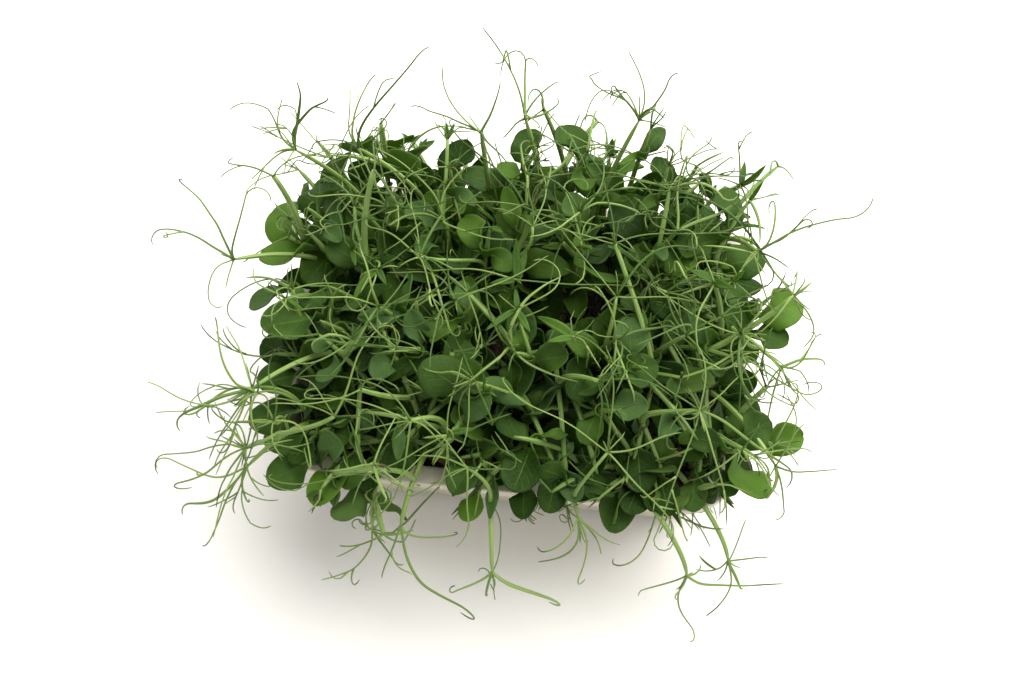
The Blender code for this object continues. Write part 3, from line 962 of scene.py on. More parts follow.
def sown_places():
    """((row, column), base point) of each shoot."""
    bed = SHOOT_ROWS, SHOOT_COLUMNS, SOWN_LENGTH, SOWN_WIDTH, 0.2, SOWING_SCATTER
    for row, column, x, y in staggered(*bed, random.Random(SOWING_SEED)):
        yield (row, column), Vector((x, y, medium_height(x, y) + GAP))


def upright_tip(base, draws):
    """Inside the bed a shoot stands nearly straight, and leans out more the nearer it is to the rim."""
    outward = Vector((2 * base.x / SOWN_LENGTH, 2 * base.y / SOWN_WIDTH, 0.0))
    stray = Vector((draws.uniform(-6, 6), draws.uniform(-6, 6), 0.0)) * MM
    return base + outward * OUTWARD_LEAN + stray + UP * SHOOT_HEIGHT * draws.uniform(0.85, 1.12)


# %% Room for a stipule pair
def place_stipules(shoot, room, draws):
    """Moves the pair up, down and about its stem until it grows clear of everything else."""
    leaf_points = SPRAWLING_LEAF_POINTS if shoot["place"] in SPRAWL else LEAF_POINTS
    for leaf_point, attempt in itertools.product(leaf_points, range(TRIES)):
        shoot["leaf_point"] = leaf_point
        shoot["node"] = shoot["stem"][leaf_point]
        axis = shoot["axis"] = heading_at(shoot["stem"], leaf_point)
        shoot["size"] = draws.uniform(0.9, 1.12) * (1 - 0.3 * attempt / TRIES)
        shoot["opening"] = math.radians(draws.uniform(60, 95))
        shoot["lift"] = math.radians(draws.uniform(8, 45))
        shoot["twist"] = math.radians(draws.uniform(50, 85))
        shoot["droop"] = draws.uniform(-0.1, 0.2)
        shoot["front"] = square_to(axis, level_way(draws.uniform(0, 360)) + UP * 1.5)
        sheet = sheet_rows(stipule_sections(shoot, 8, 3), 9)
        points = [point for row in sheet for point in row]
        if room.is_free(points, BLADE_THICKNESS / 2, shoot["name"]) and off_own_stem(sheet, shoot):
            room.take(points, BLADE_THICKNESS / 2, shoot["name"] + "_leaves")
            return
    print("no room for the stipules of", shoot["name"])


def off_own_stem(sheet, shoot):
    """True if the pair touches none of its own stem's route."""
    stem = filled_in(shoot["stem"])
    clearance = STEM_RADIUS + BLADE_THICKNESS / 2 + GAP
    return all((point - other).length > clearance for row in sheet for point in row for other in stem)


# %% Room for tendrils and buds
def place_tendrils(shoot, place, room, draws):
    """Tendrils from the end of the stem, to where they're told or fanned out evenly."""
    tip = shoot["stem"][-1]
    forward = end_heading(shoot["stem"])
    told = SPRAWL.get(place, ())[1:]
    first_turn = draws.uniform(0, 360)
    for number in range(len(told) or TENDRILS_INSIDE):
        for _ in range(TRIES):
            if told:
                stray = Vector([draws.uniform(-1, 1) for _ in range(3)])
                end = tip + (Vector(told[number]) + stray) * MM
            else:
                around = first_turn + 360 * number / TENDRILS_INSIDE + draws.uniform(-30, 30)
                away = forward * draws.uniform(0.1, 0.9) + fanned(forward, around)
                end = tip + away.normalized() * TENDRIL_LENGTH * draws.uniform(0.6, 1.15)
            bow = {"round": draws.uniform(0, 360), "size": draws.uniform(0.05, 0.3)}
            thread = tendril_route(tip, forward, end, bow)
            dense = filled_in(thread)
            if room.is_free(dense[3:], TENDRIL_RADIUS, shoot["name"]):
                room.take(dense, TENDRIL_RADIUS, shoot["name"])
                shoot["tendrils"].append(thread)
                break


def place_bud(shoot, room, draws):
    """A bud from the node, up between the two blades."""
    start, axis = shoot["node"], shoot["axis"]
    for _ in range(TRIES):
        front = turned(shoot["front"], axis, draws.uniform(-45, 45))
        heading = turned(axis, axis.cross(front), draws.uniform(20, 60))
        bud = [start + heading * BUD_LENGTH * along for along, _ in BUD_SHAPE]
        dense = filled_in(bud)[4:]
        if room.is_free(dense, BUD_RADIUS, shoot["name"]):
            room.take(dense, BUD_RADIUS, shoot["name"])
            shoot["bud"] = bud
            return


# %% The whole plan
def plan_shoots():
    """Every shoot's routes and stipules, each grown clear of those before it."""
    shoots = []
    room = Room()
    for number, (place, base) in enumerate(sown_places(), start=1):
        draws = random.Random(SOWING_SEED * 1000 + number)
        usual = upright_tip(base, draws)
        tip = Vector(SPRAWL[place][0]) * MM if place in SPRAWL else usual
        route = stem_route(base, tip)
        shoot = dict(name=f"shoot_{number:02d}", place=place, draws=draws, stem=route, bud=[], tendrils=[])
        room.take(filled_in(route), STEM_RADIUS, shoot["name"])
        shoots.append(shoot)
    for shoot in shoots:
        place_stipules(shoot, room, shoot["draws"])
    for shoot in shoots:
        place_bud(shoot, room, shoot["draws"])
        place_tendrils(shoot, shoot["place"], room, shoot["draws"])
    return shoots


shoots = plan_shoots()
print("planned shoots:", len(shoots), "with", sum(len(shoot["tendrils"]) for shoot in shoots), "tendrils")

# %% [markdown]
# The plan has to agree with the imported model, so it is measured against it: every point of a planned
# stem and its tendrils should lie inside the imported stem's box.

# %% Check the plan against the model
def furthest_outside(shoot):
    """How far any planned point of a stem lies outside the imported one's box."""
    low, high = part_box(shoot["name"] + "_stem")
    points = shoot["stem"] + [point for thread in shoot["tendrils"] for point in thread]
    return max(max(max(low[k] - p[k], p[k] - high[k]) for k in range(3)) for p in points)


print("furthest outside, mm:", round(max(furthest_outside(shoot) for shoot in shoots) / MM, 3))

# %% [markdown]
# ## The crowd between the planned shoots
#
# A real tray holds about a hundred shoots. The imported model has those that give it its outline, and
# the rest are grown here, by a looser rule: out of some tries, the one that meets least of what is
# there already is kept. A coarse map of full cells is quick enough to ask thousands of times.

# %% A quick map of what is full
class Crowd:
    """Remembers which small cells hold something, so that new parts go where it is emptiest."""

    CELL = 2.0 * MM

    def __init__(self):
        self.full, self.open = set(), set()

    def take(self, points):
        self.full.update(cell_of(point, self.CELL) for point in points)

    def keep_open(self, points):
        self.open.update(cell_of(point, self.CELL) for point in points)

    def veiling(self, route):
        """How many points of this thread lie in the space that is kept open."""
        return sum(cell_of(point, self.CELL) in self.open for point in route)

    def refuses(self, point):
        """True in a full cell or an open one, in the peat or the tray's wall, or too far out."""
        cell = cell_of(point, self.CELL)
        return cell in self.full or cell in self.open or not clear_of_tray(point, 0.0) or not over_bed(point)

    def crowding(self, points):
        """The share of these points that can't be used."""
        return sum(self.refuses(point) for point in points) / len(points)


BED_REACH_X = 86 * MM
BED_REACH_Y = 62 * MM


def over_bed(point):
    """True inside the oblong with full corners that the leaves keep to, seen from above."""
    return (abs(point.x) / BED_REACH_X) ** 4 + (abs(point.y) / BED_REACH_Y) ** 4 < 1


def pair_points(pair):
    """A few points all over a stipule pair."""
    return [point for row in sheet_rows(stipule_sections(pair, 8, 2), 7) for point in row]


crowd = Crowd()
for shoot in shoots:
    crowd.take(filled_in(shoot["stem"]))
    crowd.take(pair_points(shoot))
    for thread in shoot["tendrils"]:
        crowd.take(filled_in(thread))
print("full cells after the planned shoots:", len(crowd.full))

# %% [markdown]
# ### The shape of the crowd
#
# Seen from the side the shoots make a low dome. It is highest over the back of the tray, where they
# reach for the light, and drops towards the rim.

# %% Height of the crowd
CROWD_TOP = 88 * MM
CROWD_SLOPE = 0.13
CROWD_EDGE_DROP = 17 * MM
CROWD_HALF_LENGTH = 95 * MM
CROWD_HALF_WIDTH = 72 * MM


def crowd_height(x, y):
    edge = max(abs(x) / CROWD_HALF_LENGTH, abs(y) / CROWD_HALF_WIDTH)
    return CROWD_TOP + CROWD_SLOPE * y - CROWD_EDGE_DROP * min(1.0, edge) ** 3


# %% Bases of the shoots in between
FILLER_COLUMNS = 13
FILLER_ROWS = 8
FILLER_LENGTH = 136 * MM
FILLER_WIDTH = 90 * MM
FILLER_SCATTER = 2.5 * MM
FILLER_SEED = 23
LEAST_GAP = 4.0 * MM
FILLER_LEAN = Vector((18, 18, 0)) * MM


def filler_bases():
    """Base points of the shoots in between, clear of the planned ones."""
    planned = [shoot["stem"][0] for shoot in shoots]
    bed = FILLER_ROWS, FILLER_COLUMNS, FILLER_LENGTH, FILLER_WIDTH, 0.25, FILLER_SCATTER
    places = staggered(*bed, random.Random(FILLER_SEED))
    bases = [Vector((x, y, medium_height(x, y) - GAP)) for _, _, x, y in places]
    return [base for base in bases if min((base - other).length for other in planned) > LEAST_GAP]


def filler_tip(base, draws):
    """Where a shoot in between ends: under the crowd's top, leaning out more the nearer the rim it is."""
    outward = Vector((2 * base.x / FILLER_LENGTH, 2 * base.y / FILLER_WIDTH, 0.0))
    stray = Vector((draws.uniform(-8, 8), draws.uniform(-8, 8), 0.0)) * MM
    tip = base + outward * FILLER_LEAN + stray
    tip.z = crowd_height(tip.x, tip.y) + draws.uniform(-26, -5) * MM
    return tip


free_bases = filler_bases()
print("places in between:", len(free_bases))

# %% [markdown]
# ### Leaf pairs
#
# Pairs sit at the nodes, each turned half round from the one below it. Low pairs are larger, and the
# youngest, near the tip, are smaller.

# %% Growing a pair
PAIR_TRIES = 22
SHRINKS_BY = 0.22


def new_pair(node, axis, facing, size, draws):
    """One try at a stipule pair: how it opens, lifts, twists and droops."""
    stray = turned(facing, axis, draws.uniform(-50, 50))
    return dict(
        node=node, axis=axis, front=square_to(axis, stray + UP * draws.uniform(0.3, 1.4)),
        size=size * draws.uniform(0.84, 1.08),
        opening=math.radians(draws.uniform(55, 95)),
        lift=math.radians(draws.uniform(2, 42)),
        twist=math.radians(draws.uniform(52, 88)),
        droop=draws.uniform(-0.12, 0.3),
    )


def keep_best(tries, most_crowding):
    """The least crowded of these pairs, or None if even that is too crowded."""
    crowdings = [crowd.crowding(pair_points(pair)) for pair in tries]
    best = min(range(len(tries)), key=lambda i: crowdings[i])
    if crowdings[best] > most_crowding:
        return None
    crowd.take(pair_points(tries[best]))
    return tries[best]


def grow_pair(plant, point, facing, size, draws, most_crowding):
    """Gives the stem a pair at this point, smaller with every try, if there is room for one."""
    stem = plant["stem"]
    axis = heading_at(stem, point)
    tries = []
    for attempt in range(PAIR_TRIES):
        shrink = 1 - SHRINKS_BY * attempt / PAIR_TRIES
        tries.append(new_pair(stem[point], axis, facing, size * shrink, draws))
    pair = keep_best(tries, most_crowding)
    if pair:
        plant["pairs"].append(pair)


# %% [markdown]
# ### Threads
#
# A tendril grows by feel. It leaves its hub nearly straight, bends more and more, and winds up when
# its tip touches something. So a thread is walked out in short strides: each stride turns it a
# little about an axis that wanders too, and the last strides may turn it hard, into a hook. Over the
# bed threads lie on their neighbours, and past the rim they hang a little. Of a few walks, the one is
# kept that crosses least of the space over the blades that show, so those stay in sight.

# %% Walking out a thread
STRIDE = 1.7 * MM
LOW_CORNER = cad_box[0] + Vector((1, 1, 1)) * MM
HIGH_CORNER = cad_box[1] - Vector((1, 1, 1)) * MM
BOX_MARGIN = 6 * MM
CARRIED_BY_CROWD = 0.10
CARRIED_WITHIN = 12 * MM
HANGING = 0.015
TURN_BACK = 0.13
KINK_CHANCE = 0.05
# How far over the crowd threads float, in millimetres, and how they bend, in degrees a stride.
FLOATS = (-15, 5)
THREAD_BENDS = (0.8, 2.0, 3.5, 6.0)


def any_direction(draws):
    return Vector([draws.gauss(0, 1) for _ in range(3)]).normalized()


def settle(place, floats_at):
    """How a thread's heading changes by its weight, by what carries it and by what it holds on to."""
    pull = Vector((0.0, 0.0, -HANGING))
    if abs(place.x) < CROWD_HALF_LENGTH and abs(place.y) < CROWD_HALF_WIDTH:
        above = place.z - crowd_height(place.x, place.y) - floats_at
        pull.z = -CARRIED_BY_CROWD * max(-1.0, min(1.0, above / CARRIED_WITHIN))
    else:
        pull -= Vector((place.x, place.y, 0.0)).normalized() * TURN_BACK
    for k in range(3):
        pull[k] += 0.5 * (place[k] < LOW_CORNER[k] + BOX_MARGIN)
        pull[k] -= 0.5 * (place[k] > HIGH_CORNER[k] - BOX_MARGIN)
    return pull


def walk_thread(start, heading, length, draws, hook_chance=0.5, stride=STRIDE, bends=THREAD_BENDS):
    axis = square_to(heading, any_direction(draws))
    bend = draws.choice(bends) * draws.uniform(0.7, 1.3)
    hook_from = draws.uniform(0.65, 0.93) if draws.random() < hook_chance else 2.0
    hook_turn = draws.uniform(12, 40)
    wander = draws.uniform(8, 40)
    floats_at = draws.uniform(*FLOATS) * MM
    swing_at = any_direction(draws) * 30
    steps = max(5, round(length / stride))
    route = [start]
    for step in range(steps):
        share = step / steps
        axis = square_to(heading, turned(axis, heading, draws.gauss(0, wander)))
        swing = noise.noise(swing_at + route[-1] * 110)
        turn = hook_turn if share > hook_from else bend * (0.4 + 1.3 * share) + 9 * swing
        if draws.random() < KINK_CHANCE:
            turn += draws.uniform(10, 35)
        heading = turned(heading, axis, turn)
        if share <= hook_from:
            heading = (heading + settle(route[-1], floats_at)).normalized()
        route.append(route[-1] + heading * stride * (0.7 if share > hook_from else 1.0))
    return route


CLEAR_TRIES = 5


def clear_walk(*how):
    """The one of a few walks that crosses the least of the space over the blades that show."""
    return min((walk_thread(*how) for _ in range(CLEAR_TRIES)), key=crowd.veiling)


# %% Following a planned tendril more finely
# The noise behind the waves of a thread starts from the clock unless it is seeded.
WAVE_SEED = 7
noise.seed_set(WAVE_SEED)


def smoothed(route, steps):
    """The same route on a curve through all of its points, with more of them."""
    ends = [2 * route[0] - route[1]] + route + [2 * route[-1] - route[-2]]
    fine = []
    for a, b, c, d in zip(ends, ends[1:], ends[2:], ends[3:]):
        for step in range(steps):
            t = step / steps
            square, cube = t * t, t * t * t
            bend, turn = 2 * a - 5 * b + 4 * c - d, 3 * b - a - 3 * c + d
            fine.append(0.5 * (2 * b + (c - a) * t + bend * square + turn * cube))
    return fine + [route[-1]]


def hooked(route, draws, steps, turn=(12, 30)):
    """Winds the end of a thread up: some more steps, each turned hard the same way."""
    heading, stride = end_heading(route), (route[-1] - route[-2]).length
    axis, turn = square_to(heading, any_direction(draws)), draws.uniform(*turn)
    for _ in range(steps):
        heading = turned(heading, axis, turn)
        route.append(route[-1] + heading * stride)
    return route


def living_thread(route, draws):
    """A planned tendril with the small waves of a real one, and often a hook at its end."""
    fine = smoothed(route, 5)
    last = len(fine) - 1
    wave = draws.uniform(0.3, 1.1) * MM
    scale = draws.uniform(60, 130)
    shift = any_direction(draws) * 10
    for i, point in enumerate(fine):
        fine[i] = point + noise.noise_vector(point * scale + shift) * wave * min(1.0, 3 * i / last)
    if draws.random() < HOOK_CHANCE:
        fine = hooked(fine[: round(last * draws.uniform(0.80, 0.9))], draws, draws.randint(4, 8))
    return fine


# %% [markdown]
# ### Hubs
#
# Where a leaf stalk ends, several threads part at once, and some of them part again further out.
# Between them a few stay short, as prongs. Young hubs also carry narrow pointed leaflets. Threads that
# end past the rim are painted paler, as painted light for the light they stand in, and their tips have
# more often dried.

# %% What a thread is like
THREAD_RADIUS = 0.31 * MM
BRUSH_STRIDE = 1.0 * MM
THREAD_TIP_RADIUS = 0.2 * MM
DRY_INSIDE = 0.16
# Painted light: the least share of the paler thread green that a thread ending past the rim is given, for
# the light it stands in.
LIT_OUTSIDE = 0.35
SWELLING_CHANCE = 0.12
FORK_CHANCE = 0.35
STALK_FORK_CHANCE = 0.6
STALK_LEAFLET_CHANCE = 0.3
HOOK_CHANCE = 0.6


def thread_record(route, draws, thickness=1.0, dry_chance=0.45, dryness=(0.08, 0.34)):
    """A thread with its thickness, how pale it is with painted light past the rim, how dry it is, and by how
    much its middle swells.
    """
    paleness = draws.random() ** 1.5
    if over_bed(route[-1]):
        dry_chance *= DRY_INSIDE
    else:
        # Painted light: a thread that ends past the rim is made paler for the light it stands in.
        paleness = LIT_OUTSIDE + (1 - LIT_OUTSIDE) * paleness
    return dict(
        route=route,
        radius=THREAD_RADIUS * thickness * draws.uniform(0.75, 1.3),
        dryness=draws.uniform(*dryness) if draws.random() < dry_chance else 0.0,
        paleness=paleness,
        swelling=draws.uniform(0.3, 0.9) if draws.random() < SWELLING_CHANCE else 0.0,
    )


# %% Forks and hubs
def fork(thread, draws):
    """A side thread, or two, off the middle part of a thread."""
    route = thread["route"]
    made = []
    for _ in range(draws.choice((1, 1, 2))):
        start = round(len(route) * draws.uniform(0.35, 0.7))
        heading = heading_at(route, start)
        aside = square_to(heading, any_direction(draws))
        heading = (heading + aside * draws.uniform(0.35, 0.9)).normalized()
        length = (len(route) - start) * STRIDE * draws.uniform(0.4, 0.95)
        side = clear_walk(route[start], heading, max(length, 6 * MM), draws)
        made.append(thread_record(side, draws, 0.82))
    return made


def prong(place, heading, longest, draws, thickness, driest_from):
    """A short straight thread between the long ones, often dry."""
    route = walk_thread(place, heading, draws.uniform(3, longest) * MM, draws, 0.0)
    return thread_record(route, draws, thickness, 0.4, (driest_from, 0.9))


def grow_hub(plant, place, forward, count, draws, reach=(16, 42), told=()):
    """Threads from one place: those that were told where to go, and then as many more as asked for."""
    threads = [thread_record(living_thread(route, draws), draws, 1.3, 0.65) for route in told]
    first_turn = draws.uniform(0, 360)
    for number in range(count):
        around = first_turn + 360 * number / count + draws.uniform(-35, 35)
        heading = (forward * draws.uniform(0.1, 1.1) + fanned(forward, around)).normalized()
        length = draws.uniform(*reach) * MM
        threads.append(thread_record(clear_walk(place, heading, length, draws), draws))
    for thread in list(threads):
        if len(thread["route"]) > 8 and draws.random() < FORK_CHANCE:
            threads += fork(thread, draws)
    for _ in range(draws.choice((0, 0, 1, 2, 3))):
        heading = (forward + any_direction(draws) * 0.45).normalized()
        threads.append(prong(place, heading, 8, draws, 0.9, 0.3))
    plant["threads"] += threads


# %% Leaflets, brushes and stalks
def grow_leaflets(plant, place, forward, count, draws, scale=1.0):
    """Leaflets that point away from a hub, each as (root, heading, facing, length, width, fold)."""
    for _ in range(count):
        heading = (forward * draws.uniform(0.6, 1.6) + any_direction(draws)).normalized()
        facing = square_to(heading, UP + any_direction(draws) * 0.7)
        length, width = draws.uniform(5, 12) * scale * MM, draws.uniform(1.5, 3.4) * scale * MM
        plant["leaflets"].append((place, heading, facing, length, width, draws.uniform(0.3, 0.9)))


def grow_brush(plant, place, forward, draws):
    """A young tendril leaf that has not opened yet: a tuft of fine threads that curl round each other."""
    for _ in range(draws.randint(5, 9)):
        heading = (forward * draws.uniform(0.5, 1.5) + any_direction(draws)).normalized()
        length = draws.uniform(5, 14) * MM
        route = walk_thread(place, heading, length, draws, 0.7, BRUSH_STRIDE, (4, 9, 16, 24))
        plant["threads"].append(thread_record(route, draws, 0.62, 0.4))


def grow_stalk(plant, node, axis, facing, draws, length=(14, 36)):
    """A leaf stalk from a node, with side threads near its end and a hub on it."""
    reach = draws.uniform(*length) * MM
    start_way = (axis * draws.uniform(0.5, 1.1) + facing * draws.uniform(0.4, 1.0)).normalized()
    end_way = (start_way + any_direction(draws) * 0.5 + UP * 0.25).normalized()
    end = node + (start_way + end_way) * reach / 2
    stalk = interpolate_bezier(node, node + start_way * reach / 3, end - end_way * reach / 3, end, 10)
    plant["stalks"].append((stalk, draws.uniform(0.75, 1.15) * MM))
    if draws.random() < STALK_FORK_CHANCE:
        part = draws.choice((6, 7))
        side = square_to(heading_at(stalk, part), any_direction(draws))
        for sign in (-1, 1):
            heading = (heading_at(stalk, part) + side * sign * draws.uniform(0.6, 1.3)).normalized()
            route = clear_walk(stalk[part], heading, draws.uniform(12, 30) * MM, draws)
            plant["threads"].append(thread_record(route, draws, 0.92))
    forward = end_heading(stalk)
    grow_hub(plant, stalk[-1], forward, draws.choice((2, 3, 3, 4)), draws, (10, 34))
    if draws.random() < STALK_LEAFLET_CHANCE:
        grow_leaflets(plant, stalk[-1], forward, draws.choice((1, 2, 3)), draws)


# %% [markdown]
# ### Whole shoots
#
# A plant gathers all of this: its stem, its pairs, its stalks, its threads and its leaflets. The
# planned shoots come first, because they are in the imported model, and then those in between.

# %% Planned shoots, grown fine
LOOKS_SEED = 5
RIM_LEVEL = 52 * MM
LOW_PAIR_SIZE = 0.62
YOUNG_PAIR_SIZE = 0.75
PAIR_REACH_X = 82 * MM
# Painted light: how far a sprawling stem is blended towards the paler thread green, for the light past the
# rim.
SPRAWLING_LIT = 0.5
MOST_CROWDING = 0.3
MOST_CROWDING_AT_EDGE = 0.1


def empty_plant(name, stem):
    return dict(name=name, stem=stem, lit=0.0, pairs=[], stalks=[], threads=[], leaflets=[])


def inside_crowd(point):
    return abs(point.x) < PAIR_REACH_X and abs(point.y) < BED_REACH_Y


def grow_planned(shoot, number):
    draws = random.Random(LOOKS_SEED * 1000 + number)
    plant = empty_plant(shoot["name"].replace("shoot", "pea"), shoot["stem"])
    hangs_low = shoot["node"].z < RIM_LEVEL
    plant["pairs"].append(dict(shoot, size=shoot["size"] * LOW_PAIR_SIZE) if hangs_low else shoot)
    facing = shoot["front"]
    sprawls = shoot["place"] in SPRAWL
    # Painted light: a sprawling stem is painted half way to the paler thread green, for the light it stands
    # in.
    plant["lit"] = SPRAWLING_LIT if sprawls else 0.0
    most = MOST_CROWDING_AT_EDGE if sprawls else MOST_CROWDING
    points = (shoot["leaf_point"] - 5,) if sprawls else (10, 20)
    for point in points:
        facing = -facing
        if 6 <= point < STEM_POINTS - 2 and inside_crowd(shoot["stem"][point]):
            size = 1.0 if point < shoot["leaf_point"] else YOUNG_PAIR_SIZE
            grow_pair(plant, point, facing, size, draws, most)
    if shoot["bud"]:
        bud_way = (shoot["bud"][-1] - shoot["bud"][0]).normalized()
        plant["stalks"].append((smoothed(shoot["bud"], 3), 1.0 * MM))
        grow_hub(plant, shoot["bud"][-1], bud_way, draws.choice((2, 3)), draws, (6, 20))
        if not sprawls:
            grow_leaflets(plant, shoot["bud"][-2], bud_way, draws.choice((2, 3)), draws, 0.8)
    tip, forward = shoot["stem"][-1], end_heading(shoot["stem"])
    grow_hub(plant, tip, forward, 2 if sprawls else 1, draws, (8, 26), shoot["tendrils"])
    return plant


# %% [markdown]
# ### The blades that show
#
# From above, some seventy-five blades stand out: at the very top of the crowd and all along its edge.
# Each is placed by its middle in millimetres, the way its tip points, in degrees round the tray from
# its right-hand side, its length, and what it is like. A shoot is then grown up to it from the nearest
# free place in the peat, and the space over the blade, towards the viewer, is kept open from then on.

# %% Places of the blades that show
SHOWN_BLADES = (
    # The left-hand edge, from back to front.
    (-71, 27, 84, 106, 18, "deep"), (-83, 21, 75, 136, 19, "bright"), (-79, 8, 75, 196, 20, "bright"),
    (-83, -8, 74, 196, 15, "waxy"), (-72, -20, 80, 206, 21, "plain"), (-78, -24, 68, 156, 13, "deep"),
    (-75, -34, 66, 206, 16, "plain"), (-76, -44, 60, 196, 18, "plain"), (-60, -26, 80, 246, 10, "waxy"),
    (-57, -36, 80, 266, 12, "waxy"), (-69, -62, 55, 221, 15, "plain"), (-55, -56, 65, 96, 12, "waxy"),
    (-71, -51, 58, 200, 15, "plain"), (-64, -55, 59, 230, 13, "deep"),
    # The back.
    (-46, 25, 85, 96, 12, "waxy"), (-36, 22, 86, 126, 12, "waxy"), (-30, 17, 86, 276, 12, "waxy"),
    (-17, 17, 88, 126, 13, "bright"), (-25, 41, 92, 80, 17, "deep"), (-7, 40, 90, 176, 11, "bright"),
    (-2, 51, 91, 86, 13, "plain"), (12, 53, 92, 116, 15, "plain"), (43, 46, 90, 106, 11, "plain"),
    (67, 36, 87, 86, 16, "plain"), (40, 54, 98, 62, 12, "plain oval"),
    # The right-hand edge.
    (52, 14, 85, 86, 12, "bright"), (87, 6, 76, 26, 16, "bright"), (84, -3, 72, -9, 13, "plain"),
    (72, -1, 78, 66, 13, "plain"), (59, -8, 83, 126, 13, "waxy narrow"), (90, -36, 65, 16, 15, "bright"),
    (79, -51, 63, -64, 19, "bright"), (74, -20, 69, 10, 14, "deep"), (77, -28, 66, -40, 13, "plain"),
    (79, -40, 77, 40, 14, "plain"),
    # The middle.
    (-59, 6, 85, 156, 13, "plain"), (-46, -8, 85, 6, 16, "plain narrow"),
    (-42, -17, 84, 186, 17, "waxy oval"), (-31, -20, 87, 106, 13, "waxy folded"),
    (-20, -36, 85, 156, 18, "plain"), (-11, -41, 79, -14, 16, "waxy"), (1, -40, 82, -14, 13, "waxy narrow"),
    (14, -26, 86, 6, 12, "plain"), (38, -16, 86, 101, 15, "waxy"), (49, 0, 80, 186, 14, "deep"),
    (41, -27, 84, 26, 14, "plain"), (39, -39, 83, 6, 13, "waxy"), (-40, -34, 82, 256, 11, "waxy"),
    # The front, over the rim.
    # The first blade here is given the glowing tone: painted light, for a blade lit through from behind.
    (-54, -63, 57, 256, 22, "glowing"), (-32, -55, 74, 276, 13, "waxy narrow"),
    (-11, -60, 62, 246, 14, "plain"), (-8, -66, 53, 256, 11, "bright"),
    (-1, -65, 60, 271, 14, "waxy narrow"), (8, -59, 71, 256, 16, "deep"), (9, -64, 56, 276, 12, "deep"),
    (32, -60, 64, -14, 12, "plain narrow"), (39, -63, 57, 266, 15, "plain"), (50, -58, 60, 276, 12, "deep"),
    (51, -44, 81, 246, 12, "waxy folded"), (-47, -61, 62, 266, 14, "plain"), (-41, -63, 56, 276, 9, "deep"),
    (-32, -57, 66, 250, 13, "deep"), (30, -57, 64, 276, 13, "deep"), (45, -53, 66, 280, 14, "deep"),
    (67, -53, 58, 276, 12, "deep"), (73, -50, 60, 300, 12, "plain"), (44, -60, 60, 250, 13, "deep"),
    (54, -59, 61, 290, 13, "deep"), (63, -57, 60, 268, 12, "plain"), (18, -62, 61, 262, 12, "deep"),
    (24, -60, 64, 300, 11, "waxy"),
    # Over the rim at the sides.
    (74, 24, 74, 20, 16, "plain"), (74, 16, 72, -20, 14, "deep"), (76, -45, 62, -30, 13, "deep"),
    (-74, -23, 68, 190, 13, "deep"),
)

# %% Growing a shoot up to a blade
NODE_POINT = 20
SHOWN_TRIES = 12
# The space kept open over a blade: which way, how many millimetres up, and over how much of its length.
OPEN_WAY = Vector((0.0, -0.5, 0.87))
OPEN_HEIGHTS = range(4, 17, 2)
SEEN_SHARE = 0.55


def nearest_base(place):
    """Takes the free base that suits a shoot to this place: under it, and nearer the middle of the tray."""
    wanted = Vector((place.x * 0.84, place.y * 0.76, MEDIUM_TOP))
    best = min(range(len(free_bases)), key=lambda i: (free_bases[i] - wanted).length)
    return free_bases.pop(best)


def stem_through(base, node, ahead):
    """A stem whose route passes through node on its way up."""
    tip = node + ahead
    for _ in range(4):
        route = stem_route(base, tip)
        tip += node - route[NODE_POINT]
    return stem_route(base, tip)


def shown_pair(base, place, degrees, length, draws):
    """One try at a pair with a blade in this place, and the stem that carries it."""
    side = draws.choice((-1, 1))
    opening, lift = math.radians(draws.uniform(55, 92)), math.radians(draws.uniform(-4, 18))
    way = level_way(degrees)
    axis = (UP + Vector((place.x, place.y, 0.0)) * 5 - way * draws.uniform(0.0, 0.35)).normalized()
    away = square_to(axis, way)
    front = turned(away, axis, -side * math.degrees(opening))
    reach = away * math.cos(lift) + axis * math.sin(lift)
    node = place - reach * length / 2 - axis.cross(front) * side * (STEM_RADIUS + COLLAR_CLEARANCE)
    stem = stem_through(base, node, axis * draws.uniform(7, 13) * MM - way * draws.uniform(2, 6) * MM)
    return dict(
        node=node, axis=axis, front=front, size=length / BLADE_LENGTH, opening=opening, lift=lift,
        twist=math.radians(draws.uniform(70, 92)), droop=draws.uniform(-0.05, 0.15),
        stem=stem, shown_side=side, partner=draws.uniform(0.5, 0.85),
    )


def grow_shown(number, x, y, z, degrees, length, habit):
    draws = random.Random(LOOKS_SEED * 3000 + number)
    place = Vector((x, y, z)) * MM
    base = nearest_base(place)
    tries = [shown_pair(base, place, degrees, length * MM, draws) for _ in range(SHOWN_TRIES)]
    pair = keep_best(tries, 1.0)
    pair["habit"] = habit.split()
    plant = empty_plant("shown", pair["stem"])
    plant["pairs"].append(pair)
    crowd.take(filled_in(pair["stem"]))
    seen = [point for point in pair_points(pair) if (point - place).length < length * SEEN_SHARE * MM]
    crowd.keep_open(point + OPEN_WAY * height * MM for point in seen for height in OPEN_HEIGHTS)
    return plant


shown = [grow_shown(number, *blade) for number, blade in enumerate(SHOWN_BLADES)]
print("blades that show:", len(shown), "and free places left:", len(free_bases))

# %% [markdown]
# The shoots that carry those blades get their lower pairs, stalks and threads only now, so that
# nothing small takes the room of something large. The front of the tray has fewer threads than the
# back, where shoots reach for the light.

# %% Finishing a shoot in between
STALKS_FROM = 58 * MM
FACES_OUT_FROM = 45 * MM
LEAFLET_CHANCE = 0.25
SPARSE_BEFORE = 4 * MM
# The chance of a stalk at a node, how many threads the tip may have, and the chance of a brush on it.
SPARSE = (0.18, (0, 0, 1, 1), 0.2)
DENSE = (0.26, (0, 1, 1, 2), 0.35)


